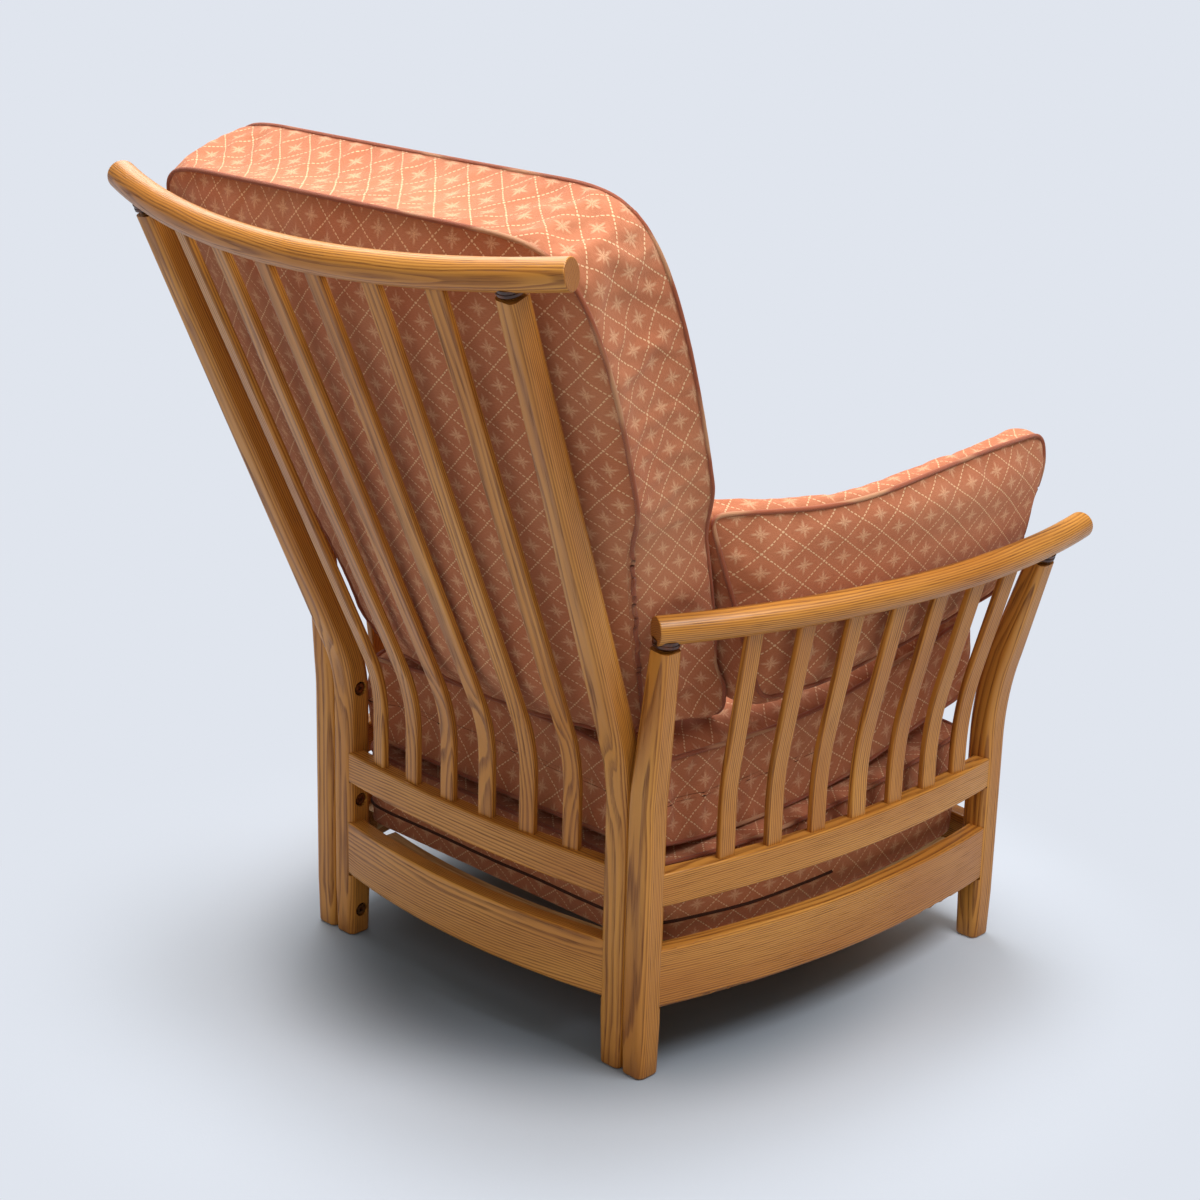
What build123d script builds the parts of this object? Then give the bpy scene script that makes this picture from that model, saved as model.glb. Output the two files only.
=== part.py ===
"""Easy chair with bent bow arms, flat bent spindles and loose piped cushions.

Two side frames and a back frame are bolted together at the rear corners, so each corner
shows two posts side by side. Every post and spindle stands upright to a knee and leans
out from there to a round bent rod: the crest behind the sitter's head, or one of the arms.
The front faces -Y, +X is the sitter's left, and the feet stand on Z = 0.
"""
import os
from math import copysign, cos, radians, sin, sqrt, tan

from build123d import *

# Posts: rounded square sections, in millimetres
post_width = 35.0
foot_width = 32.0
post_top_width = 28.0
post_corner_share = 0.27
foot_taper_height = 60.0
foot_edge_radius = 4.0

# Back frame
back_post_x = 233.0
back_top_x = 290.0
back_knee_height = 357.0
back_bend_radius = 200.0
back_lean_angle = 22.3
crest_height = 952.5
crest_diameter = 34.0
crest_span = 712.0

# Side frames, given for the sitter's left
front_post_x = 310.0
front_post_y = -572.0
side_knee_height = 332.0
side_bend_radius = 380.0
arm_height = 540.0
arm_diameter = 33.0
arm_span = 680.0
arm_rear_x = 284.0
arm_rear_y = 15.0
arm_splay_angle = 6.6
rod_bend_radius = 1018.0
rod_edge_radius = 1.5

# Joints between posts and rods
tenon_diameter = 16.0
collar_diameter = 31.0
collar_rise = 3.0
shoulder_gap = 6.0
tenon_depth = 26.0
tenon_clearance = 0.2

# Rails: bands of wood bent outwards between the posts
rail_thickness = 22.0
rail_inset = 3.0
mid_rail_bottom = 209.0
mid_rail_height = 40.0
lower_rail_bottom = 83.0
lower_rail_height = 73.0
rail_top_edge_radius = 3.0
lower_rail_bottom_edge_radius = 7.0
mid_rail_sagitta = 17.0
lower_rail_sagitta = 26.0
side_rail_sagitta = 32.0
front_rail_sagitta = 24.0
rail_shoulder_depth = 6.0
rail_tenon_length = 14.0
rail_tenon_thickness = 11.0
rail_tenon_shoulder = 7.0

# Spindles: flat bent laths
spindle_width = 23.0
spindle_thickness = 10.0
spindle_edge_radius = 3.0
spindle_foot_depth = 14.0
spindle_top_depth = 12.0
back_spindle_count = 6
back_spindle_spacing = 65.5
back_spindle_fan_share = 0.245
side_spindle_count = 7
side_spindle_spacing = 66.0
side_spindle_start = 81.5

# Bolts through the doubled posts
bolt_heights = (33.0, 183.0, 330.0)
bolt_diameter = 8.0
bolt_head_diameter = 13.0
bolt_head_height = 6.0
bolt_socket_width = 5.0
bolt_socket_depth = 3.5
bolt_washer_diameter = 17.0
bolt_washer_thickness = 1.5
counterbore_diameter = 18.0
counterbore_depth = 9.0
insert_diameter = 12.0
insert_recess = 0.5
insert_length = 20.0
bolt_insert_engagement = 16.0

# Seat bearers screwed inside the lower rails
bearer_thickness = 30.0
bearer_height = 22.0
bearer_drop = 15.0
bearer_post_gap = 1.0
bearer_screw_diameter = 4.5
bearer_screw_head_diameter = 8.0
bearer_screw_length = 44.0
bearer_screw_pitch = 130.0

# Sprung seat base
base_rear_y = -28.0
base_front_y = -565.0
base_rear_half_width = 243.0
base_middle_half_width = 297.0
base_front_half_width = 284.0
base_rear_top = 237.0
base_front_top = 276.0
base_side_bulge = 5.0
base_frame_width = 42.0
base_frame_height = 32.0
base_frame_inset = 12.0
webbing_width = 50.0
webbing_thickness = 2.5
webbing_count = 6
cover_thickness = 2.0

# Loose cushions
contact_gap = 0.4
border_height = 107.0
cushion_side_bulge = 5.0
cushion_end_draw = 7.0
seat_rear_y = -22.0
seat_front_y = -588.0
seat_rear_half_width = 245.0
seat_middle_half_width = 268.0
seat_front_half_width = 282.0
seat_rear_lift = 20.0
seat_middle_lift = 6.0
seat_front_lift = 46.0
seat_shoulder_width = 60.0
seat_rear_shoulder_rise = 7.0
seat_middle_shoulder_rise = 36.0
seat_front_shoulder_rise = 30.0
seat_top_crown = 10.0
back_cushion_bottom = 7.3
back_cushion_top = 657.0
back_cushion_corner_height = 66.0
back_cushion_corner_width = 40.0
back_cushion_stand_off = 43.0
back_cushion_depth = 108.0
back_cushion_waist_height = 165.0
back_cushion_foot_half_width = 238.0
back_cushion_waist_half_width = 256.0
back_cushion_head_half_width = 315.0
back_cushion_front_extra = 4.0
back_cushion_waist_extra = 26.0
back_rear_crown = 58.2
back_front_crown = 17.0
arm_cushion_depth = 86.0
arm_cushion_low_inset = 52.0
arm_cushion_high_inset = 9.0
arm_cushion_rear_lift = 41.8
arm_cushion_front_lift = 49.8
arm_cushion_rear_rise = 116.0
arm_cushion_front_rise = 138.0
arm_cushion_front_y = -555.0
arm_cushion_back_gap = 8.1
arm_cushion_crown = 12.2
arm_cushion_bottom_crown = 18.0
shoulder_bulge_share = 0.3
head_start_share = 0.33

UP = Vector(0, 0, 1)
half_post = post_width / 2
share_of_half = 0.5
mirror_plane = Plane.YZ


def mirrored(shape: Part) -> Part:
    """The same piece on the sitter's right."""
    return mirror(shape, about=mirror_plane)


def cut(shape: Part, tools: list) -> Part:
    """The shape with every tool taken out in turn."""
    for tool in tools:
        shape -= tool
    return shape


def plan_point(point: Vector, height: float) -> Vector:
    """A point of the plan, lifted to a height."""
    return Vector(point.X, point.Y, height)


class Arc:
    """A circular arc between two points, bowed sideways by its sagitta."""

    def __init__(self, start: Vector, end: Vector, sagitta: float, bow: Vector):
        self.start, self.end, self.bow = start, end, bow.normalized()
        half_chord = (end - start).length / 2
        self.radius = (half_chord ** 2 + sagitta ** 2) / (2 * sagitta)
        self.centre = (start + end) * 0.5 + self.bow * (sagitta - self.radius)

    def point(self, share: float) -> Vector:
        """The point of the arc over a share of its chord."""
        along = self.start + (self.end - self.start) * share - self.centre
        across = along.dot(self.bow)
        side = (along - self.bow * across).length
        return along + self.bow * (sqrt(self.radius ** 2 - side ** 2) - across) + self.centre

    def offset(self, distance: float, trim: float = 0) -> tuple:
        """Start, middle and end of the arc, moved outwards by a distance and shortened at both ends."""
        short = trim / (self.end - self.start).length
        return tuple(
            self.centre + (self.point(share) - self.centre).normalized() * (self.radius + distance)
            for share in (short, 0.5, 1 - short)
        )

    def edge(self, distance: float = 0) -> Edge:
        """The arc as an edge, moved outwards by a distance."""
        return ThreePointArc(*self.offset(distance))

    def meet(self, start: Vector, direction: Vector) -> Vector:
        """Where a level line from a plan point crosses the arc, on its bowed side."""
        heading = direction.normalized()
        from_centre = start - self.centre
        along = from_centre.dot(heading)
        reach = sqrt(along ** 2 - from_centre.dot(from_centre) + self.radius ** 2)
        return start + heading * (reach - along)


def sagitta_of(chord: float, radius: float) -> float:
    """How far an arc of a radius bows over its chord."""
    return radius - sqrt(radius ** 2 - (chord / 2) ** 2)


# The crest's arc lies square to the leaning posts and passes over their tops
lean = radians(back_lean_angle)
back_up = Vector(0, sin(lean), cos(lean))
back_out = Vector(0, cos(lean), -sin(lean))
back_top_y = (crest_height - back_knee_height) * tan(lean)
crest_sagitta = sagitta_of(crest_span, rod_bend_radius)
post_sagitta = sagitta_of(2 * back_top_x, rod_bend_radius)
crest_middle = Vector(0, back_top_y, crest_height) + back_out * post_sagitta
crest_chord_middle = crest_middle - back_out * crest_sagitta
crest_arc = Arc(
    crest_chord_middle - Vector(crest_span / 2, 0, 0),
    crest_chord_middle + Vector(crest_span / 2, 0, 0),
    crest_sagitta, back_out,
)

# The arm's arc on the sitter's left lies level, and its chord splays towards the front
splay = radians(arm_splay_angle)
arm_forward = Vector(sin(splay), -cos(splay), 0)
arm_outward = Vector(cos(splay), sin(splay), 0)
arm_rear = Vector(arm_rear_x, arm_rear_y, arm_height)
arm_arc = Arc(
    arm_rear, arm_rear + arm_forward * arm_span,
    sagitta_of(arm_span, rod_bend_radius), arm_outward,
)

# Post centres in plan, for the sitter's left
back_post_centre = Vector(back_post_x, 0, 0)
rear_post_centre = Vector(back_post_x + post_width, 0, 0)
front_post_centre = Vector(front_post_x, front_post_y, 0)


class Member:
    """A post or spindle: upright to its knee, then straight to its top."""

    def __init__(self, foot: Vector, knee_height: float, top: Vector, radius: float):
        self.foot, self.top = foot, top
        self.knee = plan_point(foot, knee_height)
        self.direction = (top - self.knee).normalized()
        self.turn = self.direction.get_angle(UP)
        self.setback = radius * tan(radians(self.turn / 2))
        self.inward = (self.direction - UP * self.direction.Z).normalized()
        self.side = UP.cross(self.inward)
        self.bend_start = self.knee - UP * self.setback
        self.bend_end = self.knee + self.direction * self.setback
        self.radius = radius

    def bend_point(self, share: float) -> Vector:
        """The centre line part of the way round the bend."""
        angle = radians(self.turn * share)
        return self.bend_start + self.inward * (self.radius * (1 - cos(angle))) + UP * (self.radius * sin(angle))

    def lath(self, short: float) -> Part:
        """A flat bent lath that stops short of the member's top point."""
        path = FilletPolyline(self.foot, self.knee, self.top - self.direction * short, radius=self.radius)
        plane = Plane(origin=self.foot, x_dir=self.side, z_dir=UP)
        return sweep(plane * RectangleRounded(spindle_width, spindle_thickness, spindle_edge_radius), path=path)


def post_section(plane: Plane, width: float) -> Face:
    """The rounded square of a post."""
    return (plane * RectangleRounded(width, width, width * post_corner_share)).face()


class Post:
    """A post that tapers to its foot and to its top, with a round tenon and a collar."""

    def __init__(self, centre: Vector, knee_height: float, rod_point: Vector, radius: float, rod: float):
        self.rod_point = rod_point
        self.member = Member(centre, knee_height, rod_point, radius)
        self.underside = rod_point - self.member.direction * (rod / 2)
        self.shoulder = self.underside - self.member.direction * shoulder_gap

    def section(self, origin: Vector, width: float, turn: float = 0) -> Face:
        """A section that is square to the chair at the foot and turns with the bend."""
        member = self.member
        angle = radians(turn)
        upright = UP * cos(angle) + member.inward * sin(angle)
        level = member.inward * cos(angle) - UP * sin(angle)
        across = member.side * member.side.X + level * member.inward.X
        return post_section(Plane(origin=origin, x_dir=across, z_dir=upright), width)

    def body(self) -> Part:
        """The post from its foot to its dished shoulder."""
        member = self.member
        start = member.bend_start
        widest = plan_point(member.foot, foot_taper_height)
        foot = loft([self.section(member.foot, foot_width), self.section(widest, post_width)])
        foot = fillet(foot.edges().group_by(Axis.Z)[0], foot_edge_radius)
        shank = extrude(self.section(widest, post_width), start.Z - foot_taper_height, dir=UP)
        bend = ThreePointArc(start, member.bend_point(share_of_half), member.bend_end)
        knee = sweep(self.section(start, post_width), path=bend)
        top = loft([
            self.section(member.bend_end, post_width, member.turn),
            self.section(self.shoulder, post_top_width, member.turn),
        ])
        return foot + shank + knee + top - self.ball()

    def ball(self) -> Part:
        """The half-ball that is let into the post's top and cups the rod."""
        radius = collar_diameter / 2
        seat = Plane(origin=self.underside, z_dir=self.member.direction)
        ring = Cylinder(radius, collar_rise, align=(Align.CENTER, Align.CENTER, Align.MIN))
        return seat * (Sphere(radius, arc_size1=-90, arc_size2=0) + ring)

    def tenon(self, growth: float = 0) -> Part:
        """The round tenon from inside the post up to the middle of the rod."""
        return Plane(origin=self.rod_point, z_dir=-self.member.direction) * Cylinder(
            tenon_diameter / 2 + growth, tenon_depth + shoulder_gap + growth,
            align=(Align.CENTER, Align.CENTER, Align.MIN),
        )

    def collar(self, rod: Part) -> Part:
        """The dark turned collar between the post and its rod."""
        return self.ball() - rod - self.tenon(tenon_clearance)


def round_rod(arc: Arc, diameter: float) -> Part:
    """A bent round rod along an arc, with eased ends."""
    start, middle, end = arc.offset(0)
    edge = arc.edge()
    section = Plane(origin=start, x_dir=start - arc.centre, z_dir=edge % 0) * Circle(diameter / 2)
    rod = sweep(section, path=edge)
    rims = rod.edges().filter_by(GeomType.CIRCLE).filter_by(lambda e: abs(e.radius - diameter / 2) < rod_edge_radius)
    rims = [rim for rim in rims if min((rim.arc_center - start).length, (rim.arc_center - end).length) < rod_edge_radius]
    return fillet(rims, rod_edge_radius)


class Rail:
    """A rail bent in plan, whose ends are let into two posts and tenoned."""

    def __init__(self, start: Vector, end: Vector, sagitta: float, bow: Vector, bottom: float, height: float):
        self.arc = Arc(start, end, sagitta, bow)
        self.bottom, self.height = bottom, height

    def band(self, inner: float, outer: float, bottom: float, height: float, trim: float = 0) -> Part:
        """A band between two offsets of the rail's arc."""
        outer_start, outer_middle, outer_end = self.arc.offset(outer, trim)
        inner_start, inner_middle, inner_end = self.arc.offset(inner, trim)
        outline = Wire([
            ThreePointArc(outer_start, outer_middle, outer_end), Line(outer_end, inner_end),
            ThreePointArc(inner_end, inner_middle, inner_start), Line(inner_start, outer_start),
        ])
        return extrude(Face(outline).moved(Location((0, 0, bottom))), height, dir=(0, 0, 1))

    def tenons(self) -> Part:
        """The thinner core of the rail, which ends inside the posts."""
        half = rail_tenon_thickness / 2
        return self.band(-half, half, self.bottom + rail_tenon_shoulder, self.height - 2 * rail_tenon_shoulder)

    def blank(self) -> Part:
        """The square-edged rail between its shoulders, just inside the posts."""
        half = rail_thickness / 2
        return self.band(-half, half, self.bottom, self.height, rail_tenon_length - rail_shoulder_depth)

    def shaped(self, bottom_edge: float) -> Part:
        """The finished rail with eased long edges."""
        body = self.blank()
        body = fillet(body.edges().filter_by(GeomType.CIRCLE).group_by(Axis.Z)[-1], rail_top_edge_radius)
        body = fillet(body.edges().filter_by(GeomType.CIRCLE).group_by(Axis.Z)[0], bottom_edge)
        return body + self.tenons()


def largest(shape: Part) -> Solid:
    """The main solid of a cut, without the slivers past the posts."""
    return max(shape.solids(), key=lambda solid: solid.volume)


def padded_face(plane: Plane, corners: list, bulges: tuple) -> Face:
    """A four-cornered cushion section whose sides are arcs that bulge outwards, or lines without a bulge."""
    edges = []
    for index, corner in enumerate(corners):
        after = corners[(index + 1) % len(corners)]
        start, end = (plane.from_local_coords(Vector(*point)) for point in (corner, after))
        chord = Vector(*after) - Vector(*corner)
        outward = Vector(chord.Y, -chord.X).normalized()
        middle = plane.from_local_coords(Vector(*corner) + chord * 0.5 + outward * bulges[index])
        edges.append(ThreePointArc(start, middle, end) if bulges[index] else Line(start, end))
    return Face(Wire(edges))


def drawn_in(corners: list, inset: float) -> list:
    """The corners moved towards the middle by an inset along each axis."""
    middle_x = sum(corner[0] for corner in corners) / len(corners)
    middle_y = sum(corner[1] for corner in corners) / len(corners)
    return [(x - copysign(inset, x - middle_x), y - copysign(inset, y - middle_y)) for x, y in corners]


class Cushion:
    """A boxed cushion lofted through its sections."""

    def __init__(self, stations: list):
        self.stations = stations

    def solid(self, inset: float = 0) -> Part:
        """The cushion's form, or the form a cover's thickness inside it."""
        sections = []
        for index, (plane, corners, bulges) in enumerate(self.stations):
            first, last = index == 0, index == len(self.stations) - 1
            moved = plane.offset(inset * (first - last))
            sections.append(padded_face(moved, drawn_in(corners, inset), bulges))
        return loft(sections)

    def cover(self) -> Part:
        """The sewn cover round the filling."""
        return self.solid() - self.solid(cover_thickness)


def end_draw(share: float) -> float:
    """How far a cushion draws in towards both of its ends."""
    return cushion_end_draw * (2 * share - 1) ** 4


def curve_through(values: tuple, share: float) -> float:
    """A smooth run through the values at the start, middle and end."""
    start, middle, end = values
    return start + (4 * middle - 3 * start - end) * share + 2 * (start + end - 2 * middle) * share ** 2


parts = {}

# Posts, rods and collars of the back frame
crest_point = crest_arc.point(0.5 + back_top_x / crest_span)
back_post = Post(back_post_centre, back_knee_height, crest_point, back_bend_radius, crest_diameter)
crest_rod = round_rod(crest_arc, crest_diameter)

# Posts, rods and collars of the left side frame
rear_post = Post(
    rear_post_centre, side_knee_height, arm_arc.meet(plan_point(rear_post_centre, arm_height), arm_outward),
    side_bend_radius, arm_diameter,
)
front_post = Post(
    front_post_centre, side_knee_height, arm_arc.meet(plan_point(front_post_centre, arm_height), arm_outward),
    side_bend_radius, arm_diameter,
)
arm_rod = round_rod(arm_arc, arm_diameter)

back_body, rear_body, front_body = back_post.body(), rear_post.body(), front_post.body()

# Rails run a little inside the posts' outer faces, and their ends are tenons in the posts
rail_reach = half_post - rail_inset - rail_thickness / 2
rail_end = half_post - rail_tenon_length
to_rear = Vector(0, 1, 0)
to_left = Vector(1, 0, 0)
back_rail_start = Vector(rail_end - back_post_x, rail_reach, 0)
back_rail_end = Vector(back_post_x - rail_end, rail_reach, 0)
side_rail_start = rear_post_centre + to_left * rail_reach - to_rear * rail_end
side_rail_end = front_post_centre + to_left * rail_reach + to_rear * rail_end
front_rail_start = Vector(front_post_x - rail_end, front_post_y - rail_reach, 0)
front_rail_end = Vector(rail_end - front_post_x, front_post_y - rail_reach, 0)
side_bow = Vector(0, 0, 1).cross(side_rail_end - side_rail_start).normalized()

back_mid = Rail(back_rail_start, back_rail_end, mid_rail_sagitta, to_rear, mid_rail_bottom, mid_rail_height)
back_lower = Rail(back_rail_start, back_rail_end, lower_rail_sagitta, to_rear, lower_rail_bottom, lower_rail_height)
side_mid = Rail(side_rail_start, side_rail_end, side_rail_sagitta, side_bow, mid_rail_bottom, mid_rail_height)
side_lower = Rail(side_rail_start, side_rail_end, side_rail_sagitta, side_bow, lower_rail_bottom, lower_rail_height)
front_lower = Rail(front_rail_start, front_rail_end, front_rail_sagitta, -to_rear, lower_rail_bottom, lower_rail_height)

mid_rail_top = mid_rail_bottom + mid_rail_height
lower_rail_top = lower_rail_bottom + lower_rail_height
spindle_foot_height = mid_rail_top - spindle_foot_depth

# Back spindles fan out from the rail to the crest
back_spindles = []
for index in range(back_spindle_count):
    foot_x = (index - (back_spindle_count - 1) / 2) * back_spindle_spacing
    foot = back_mid.arc.point(0.5 + foot_x / (2 * back_rail_end.X))
    top = crest_arc.point(0.5 + foot_x * (1 + back_spindle_fan_share) / crest_span)
    member = Member(plan_point(foot, spindle_foot_height), back_knee_height, top, back_bend_radius)
    back_spindles.append(member.lath(crest_diameter / 2 - spindle_top_depth))

# Side spindles lean out to the arm
side_spindles = []
for index in range(side_spindle_count):
    spindle_y = half_post + side_spindle_start + index * side_spindle_spacing
    foot = side_mid.arc.meet(Vector(0, -spindle_y, 0), to_left)
    top = arm_arc.meet(plan_point(foot, arm_height), arm_outward)
    member = Member(plan_point(foot, spindle_foot_height), side_knee_height, top, side_bend_radius)
    side_spindles.append(member.lath(arm_diameter / 2 - spindle_top_depth))

# Bolts, washers and threaded inserts through the doubled rear posts
inner_face = back_post_x - half_post
bolts, washers, inserts = [], [], []
bolt_bores, insert_bores = [], []


def along_x(start: float, height: float, shape: Part) -> Part:
    """A turned piece laid along X from a start, at a bolt's height."""
    return Plane(origin=(start, 0, height), x_dir=(0, 1, 0), z_dir=(1, 0, 0)) * shape


def bar(diameter: float, length: float) -> Part:
    """A round bar that starts at its plane."""
    return Cylinder(diameter / 2, length, align=(Align.CENTER, Align.CENTER, Align.MIN))


seat_x = inner_face + counterbore_depth
insert_start = back_post_x + half_post + insert_recess
shank_start = seat_x - bolt_washer_thickness
shank_length = insert_start + bolt_insert_engagement - shank_start
for height in bolt_heights:
    head = along_x(shank_start - bolt_head_height, height, bar(bolt_head_diameter, bolt_head_height))
    socket = along_x(
        shank_start - bolt_head_height, height,
        extrude(RegularPolygon(bolt_socket_width / 2, 6, major_radius=False), bolt_socket_depth),
    )
    shank = along_x(shank_start, height, bar(bolt_diameter, shank_length))
    bolts.append(head + shank - socket)
    ring = bar(bolt_washer_diameter, bolt_washer_thickness) - bar(bolt_diameter, bolt_washer_thickness)
    washers.append(along_x(shank_start, height, ring))
    inserts.append(
        along_x(insert_start, height, bar(insert_diameter, insert_length) - bar(bolt_diameter, bolt_insert_engagement))
    )
    bolt_bores.append(along_x(inner_face - half_post, height, bar(counterbore_diameter, half_post + counterbore_depth)))
    shank_bore = along_x(seat_x, height, bar(bolt_diameter, post_width))
    bolt_bores.append(shank_bore)
    insert_bores.append(shank_bore)
    insert_bores.append(along_x(insert_start, height, bar(insert_diameter, insert_length)))

# Bearers inside the lower rails carry the seat base
bearer_top = lower_rail_top - bearer_drop
bearer_bottom = bearer_top - bearer_height


def bearer(rail: Rail, clear_of: list) -> Part:
    """A batten bent along the inner face of a rail, stopped short of the posts."""
    outer = -rail_thickness / 2
    return cut(rail.band(outer - bearer_thickness, outer, bearer_bottom, bearer_height), clear_of)


def post_clearance(centre: Vector) -> Part:
    """The space round a post that a bearer leaves free."""
    width = post_width + 2 * (bearer_thickness + bearer_post_gap)
    return Pos(centre.X, centre.Y, bearer_bottom) * Box(
        width, width, bearer_height, align=(Align.CENTER, Align.CENTER, Align.MIN)
    )


side_bearer = bearer(side_lower, [post_clearance(rear_post_centre), post_clearance(front_post_centre)])
back_bearer = bearer(back_lower, [post_clearance(back_post_centre), mirrored(post_clearance(back_post_centre))])


def bearer_screws(rail: Rail, count: int) -> list:
    """Screws from the bearer's inner face into the rail."""
    screws = []
    start, _, end = rail.arc.offset(0)
    chord = (end - start).length
    for index in range(count):
        share = 0.5 + (index - (count - 1) / 2) * bearer_screw_pitch / chord
        at = rail.arc.point(share)
        outward = (at - rail.arc.centre).normalized()
        origin = plan_point(at - outward * (rail_thickness / 2 + bearer_thickness), (bearer_bottom + bearer_top) / 2)
        place = Plane(origin=origin, x_dir=UP, z_dir=outward)
        head_height = (bearer_screw_head_diameter - bearer_screw_diameter) / 2
        cone = Cone(
            bearer_screw_head_diameter / 2, bearer_screw_diameter / 2, head_height,
            align=(Align.CENTER, Align.CENTER, Align.MIN),
        )
        screws.append(place * (cone + bar(bearer_screw_diameter, bearer_screw_length)))
    return screws


side_screws = bearer_screws(side_lower, 4)
back_screws = bearer_screws(back_lower, 3)

# Finish the frame: every mortise takes the size of what sits in it
def finished_post(post: Post, body: Part, rails: list, bores: list) -> Part:
    """The post with its rail mortises, its bores and its tenon."""
    mortises = [tool for rail in rails for tool in (rail.blank(), rail.tenons())]
    return cut(body, mortises + bores) + post.tenon()


back_body = finished_post(back_post, back_body, [back_mid, back_lower], bolt_bores)
rear_body = finished_post(rear_post, rear_body, [side_mid, side_lower], insert_bores)
front_body = finished_post(front_post, front_body, [side_mid, side_lower, front_lower], [])
crest_collar = back_post.collar(crest_rod)
rear_collar = rear_post.collar(arm_rod)
front_collar = front_post.collar(arm_rod)
crest_bore = back_post.tenon(tenon_clearance)
crest_rod = cut(crest_rod, [crest_bore, mirrored(crest_bore)] + back_spindles)
arm_rod = cut(arm_rod, [rear_post.tenon(tenon_clearance), front_post.tenon(tenon_clearance)] + side_spindles)
side_lower_rail = cut(side_lower.shaped(lower_rail_bottom_edge_radius), side_screws)
side_mid_rail = cut(side_mid.shaped(rail_top_edge_radius), side_spindles)
back_lower_rail = cut(back_lower.shaped(lower_rail_bottom_edge_radius), back_screws)
back_mid_rail = cut(back_mid.shaped(rail_top_edge_radius), back_spindles)
front_rail = front_lower.shaped(lower_rail_bottom_edge_radius)

# Sprung seat base: timber frame, webbing, foam and fabric cover, sloping up to the front
base_bottom = bearer_top
base_length = base_rear_y - base_front_y
base_slope_share = (base_front_top - base_rear_top) / base_length
base_half_widths = (base_rear_half_width, base_middle_half_width, base_front_half_width)
base_shares = (0, 0.25, 0.5, 0.75, 1)


def base_top_at(y: float) -> float:
    """Height of the base's sloping top."""
    return base_rear_top + (base_rear_y - y) * base_slope_share


def level_station(y: float, half_width: float, bottom: float, top: float, bulges: tuple) -> tuple:
    """An upright cushion section across the chair."""
    plane = Plane(origin=(0, y, 0), x_dir=(1, 0, 0), z_dir=(0, -1, 0))
    return plane, [(-half_width, bottom), (half_width, bottom), (half_width, top), (-half_width, top)], bulges


base_stations = []
for share in base_shares:
    y = base_rear_y - base_length * share
    half_width = curve_through(base_half_widths, share)
    sides = (0, base_side_bulge, 0, base_side_bulge)
    base_stations.append(level_station(y, half_width, base_bottom, base_top_at(y), sides))
base = Cushion(base_stations)
base_core = base.solid(cover_thickness)
base_cover = base.solid() - base_core


def frame_outline(inset: float) -> Face:
    """The bowed plan of the base's timber frame, drawn in by an inset."""
    rear_y, front_y = base_rear_y - inset, base_front_y + inset
    rear, middle, front = (half_width - inset for half_width in base_half_widths)
    corners = [Vector(-rear, rear_y), Vector(rear, rear_y), Vector(front, front_y), Vector(-front, front_y)]
    middle_y = (rear_y + front_y) / 2
    return Face(Wire([
        Line(corners[0], corners[1]), ThreePointArc(corners[1], Vector(middle, middle_y), corners[2]),
        Line(corners[2], corners[3]), ThreePointArc(corners[3], Vector(-middle, middle_y), corners[0]),
    ]))


frame_bottom = base_bottom + cover_thickness
frame_plan = frame_outline(base_frame_inset) - frame_outline(base_frame_inset + base_frame_width)
base_frame = Pos(0, 0, frame_bottom) * extrude(frame_plan, base_frame_height, dir=UP)
webbing = []
webbing_pitch = (base_length - 2 * base_frame_inset - base_frame_width) / webbing_count
for index in range(webbing_count):
    share = (index + 0.5) / webbing_count
    y = base_rear_y - base_frame_inset - base_frame_width / 2 - (index + 0.5) * webbing_pitch
    half = curve_through(base_half_widths, share) - base_frame_inset - base_frame_width / 2
    strap = Box(2 * half, webbing_width, webbing_thickness, align=(Align.CENTER, Align.CENTER, Align.MIN))
    webbing.append(Pos(0, y, frame_bottom + base_frame_height) * strap)
foam_bottom = frame_bottom + base_frame_height + webbing_thickness
base_foam = split(base_core, bisect_by=Plane.XY.offset(foam_bottom), keep=Keep.TOP)

# Seat cushion: lies on the sloping base and turns up at its ends
seat_shares = (0, 0.2, 0.45, 0.75, 1)
seat_half_widths = (seat_rear_half_width, seat_middle_half_width, seat_front_half_width)
seat_lifts = (seat_rear_lift, seat_middle_lift, seat_front_lift)
seat_shoulder_rises = (seat_rear_shoulder_rise, seat_middle_shoulder_rise, seat_front_shoulder_rise)
seat_length = seat_rear_y - seat_front_y


def seat_bottom_at(share: float) -> float:
    """Height of the seat cushion's lower side edges."""
    return base_top_at(seat_rear_y - seat_length * share) + curve_through(seat_lifts, share)


seat_stations = []
for share in seat_shares:
    y = seat_rear_y - seat_length * share
    half_width = curve_through(seat_half_widths, share) - end_draw(share)
    bottom, height = seat_bottom_at(share), border_height - end_draw(share)
    lift, rise = curve_through(seat_lifts, share), curve_through(seat_shoulder_rises, share)
    plane, box, sides = level_station(y, half_width, bottom, bottom + height, ())
    shoulder_x, shoulder_height = half_width - seat_shoulder_width, bottom + height + rise
    corners = box[:3] + [(shoulder_x, shoulder_height), (-shoulder_x, shoulder_height)] + box[3:]
    shoulder_bulge = rise * shoulder_bulge_share
    bulges = (
        lift - contact_gap, cushion_side_bulge, shoulder_bulge, seat_top_crown, shoulder_bulge, cushion_side_bulge,
    )
    seat_stations.append((plane, corners, bulges))
seat = Cushion(seat_stations)

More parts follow.
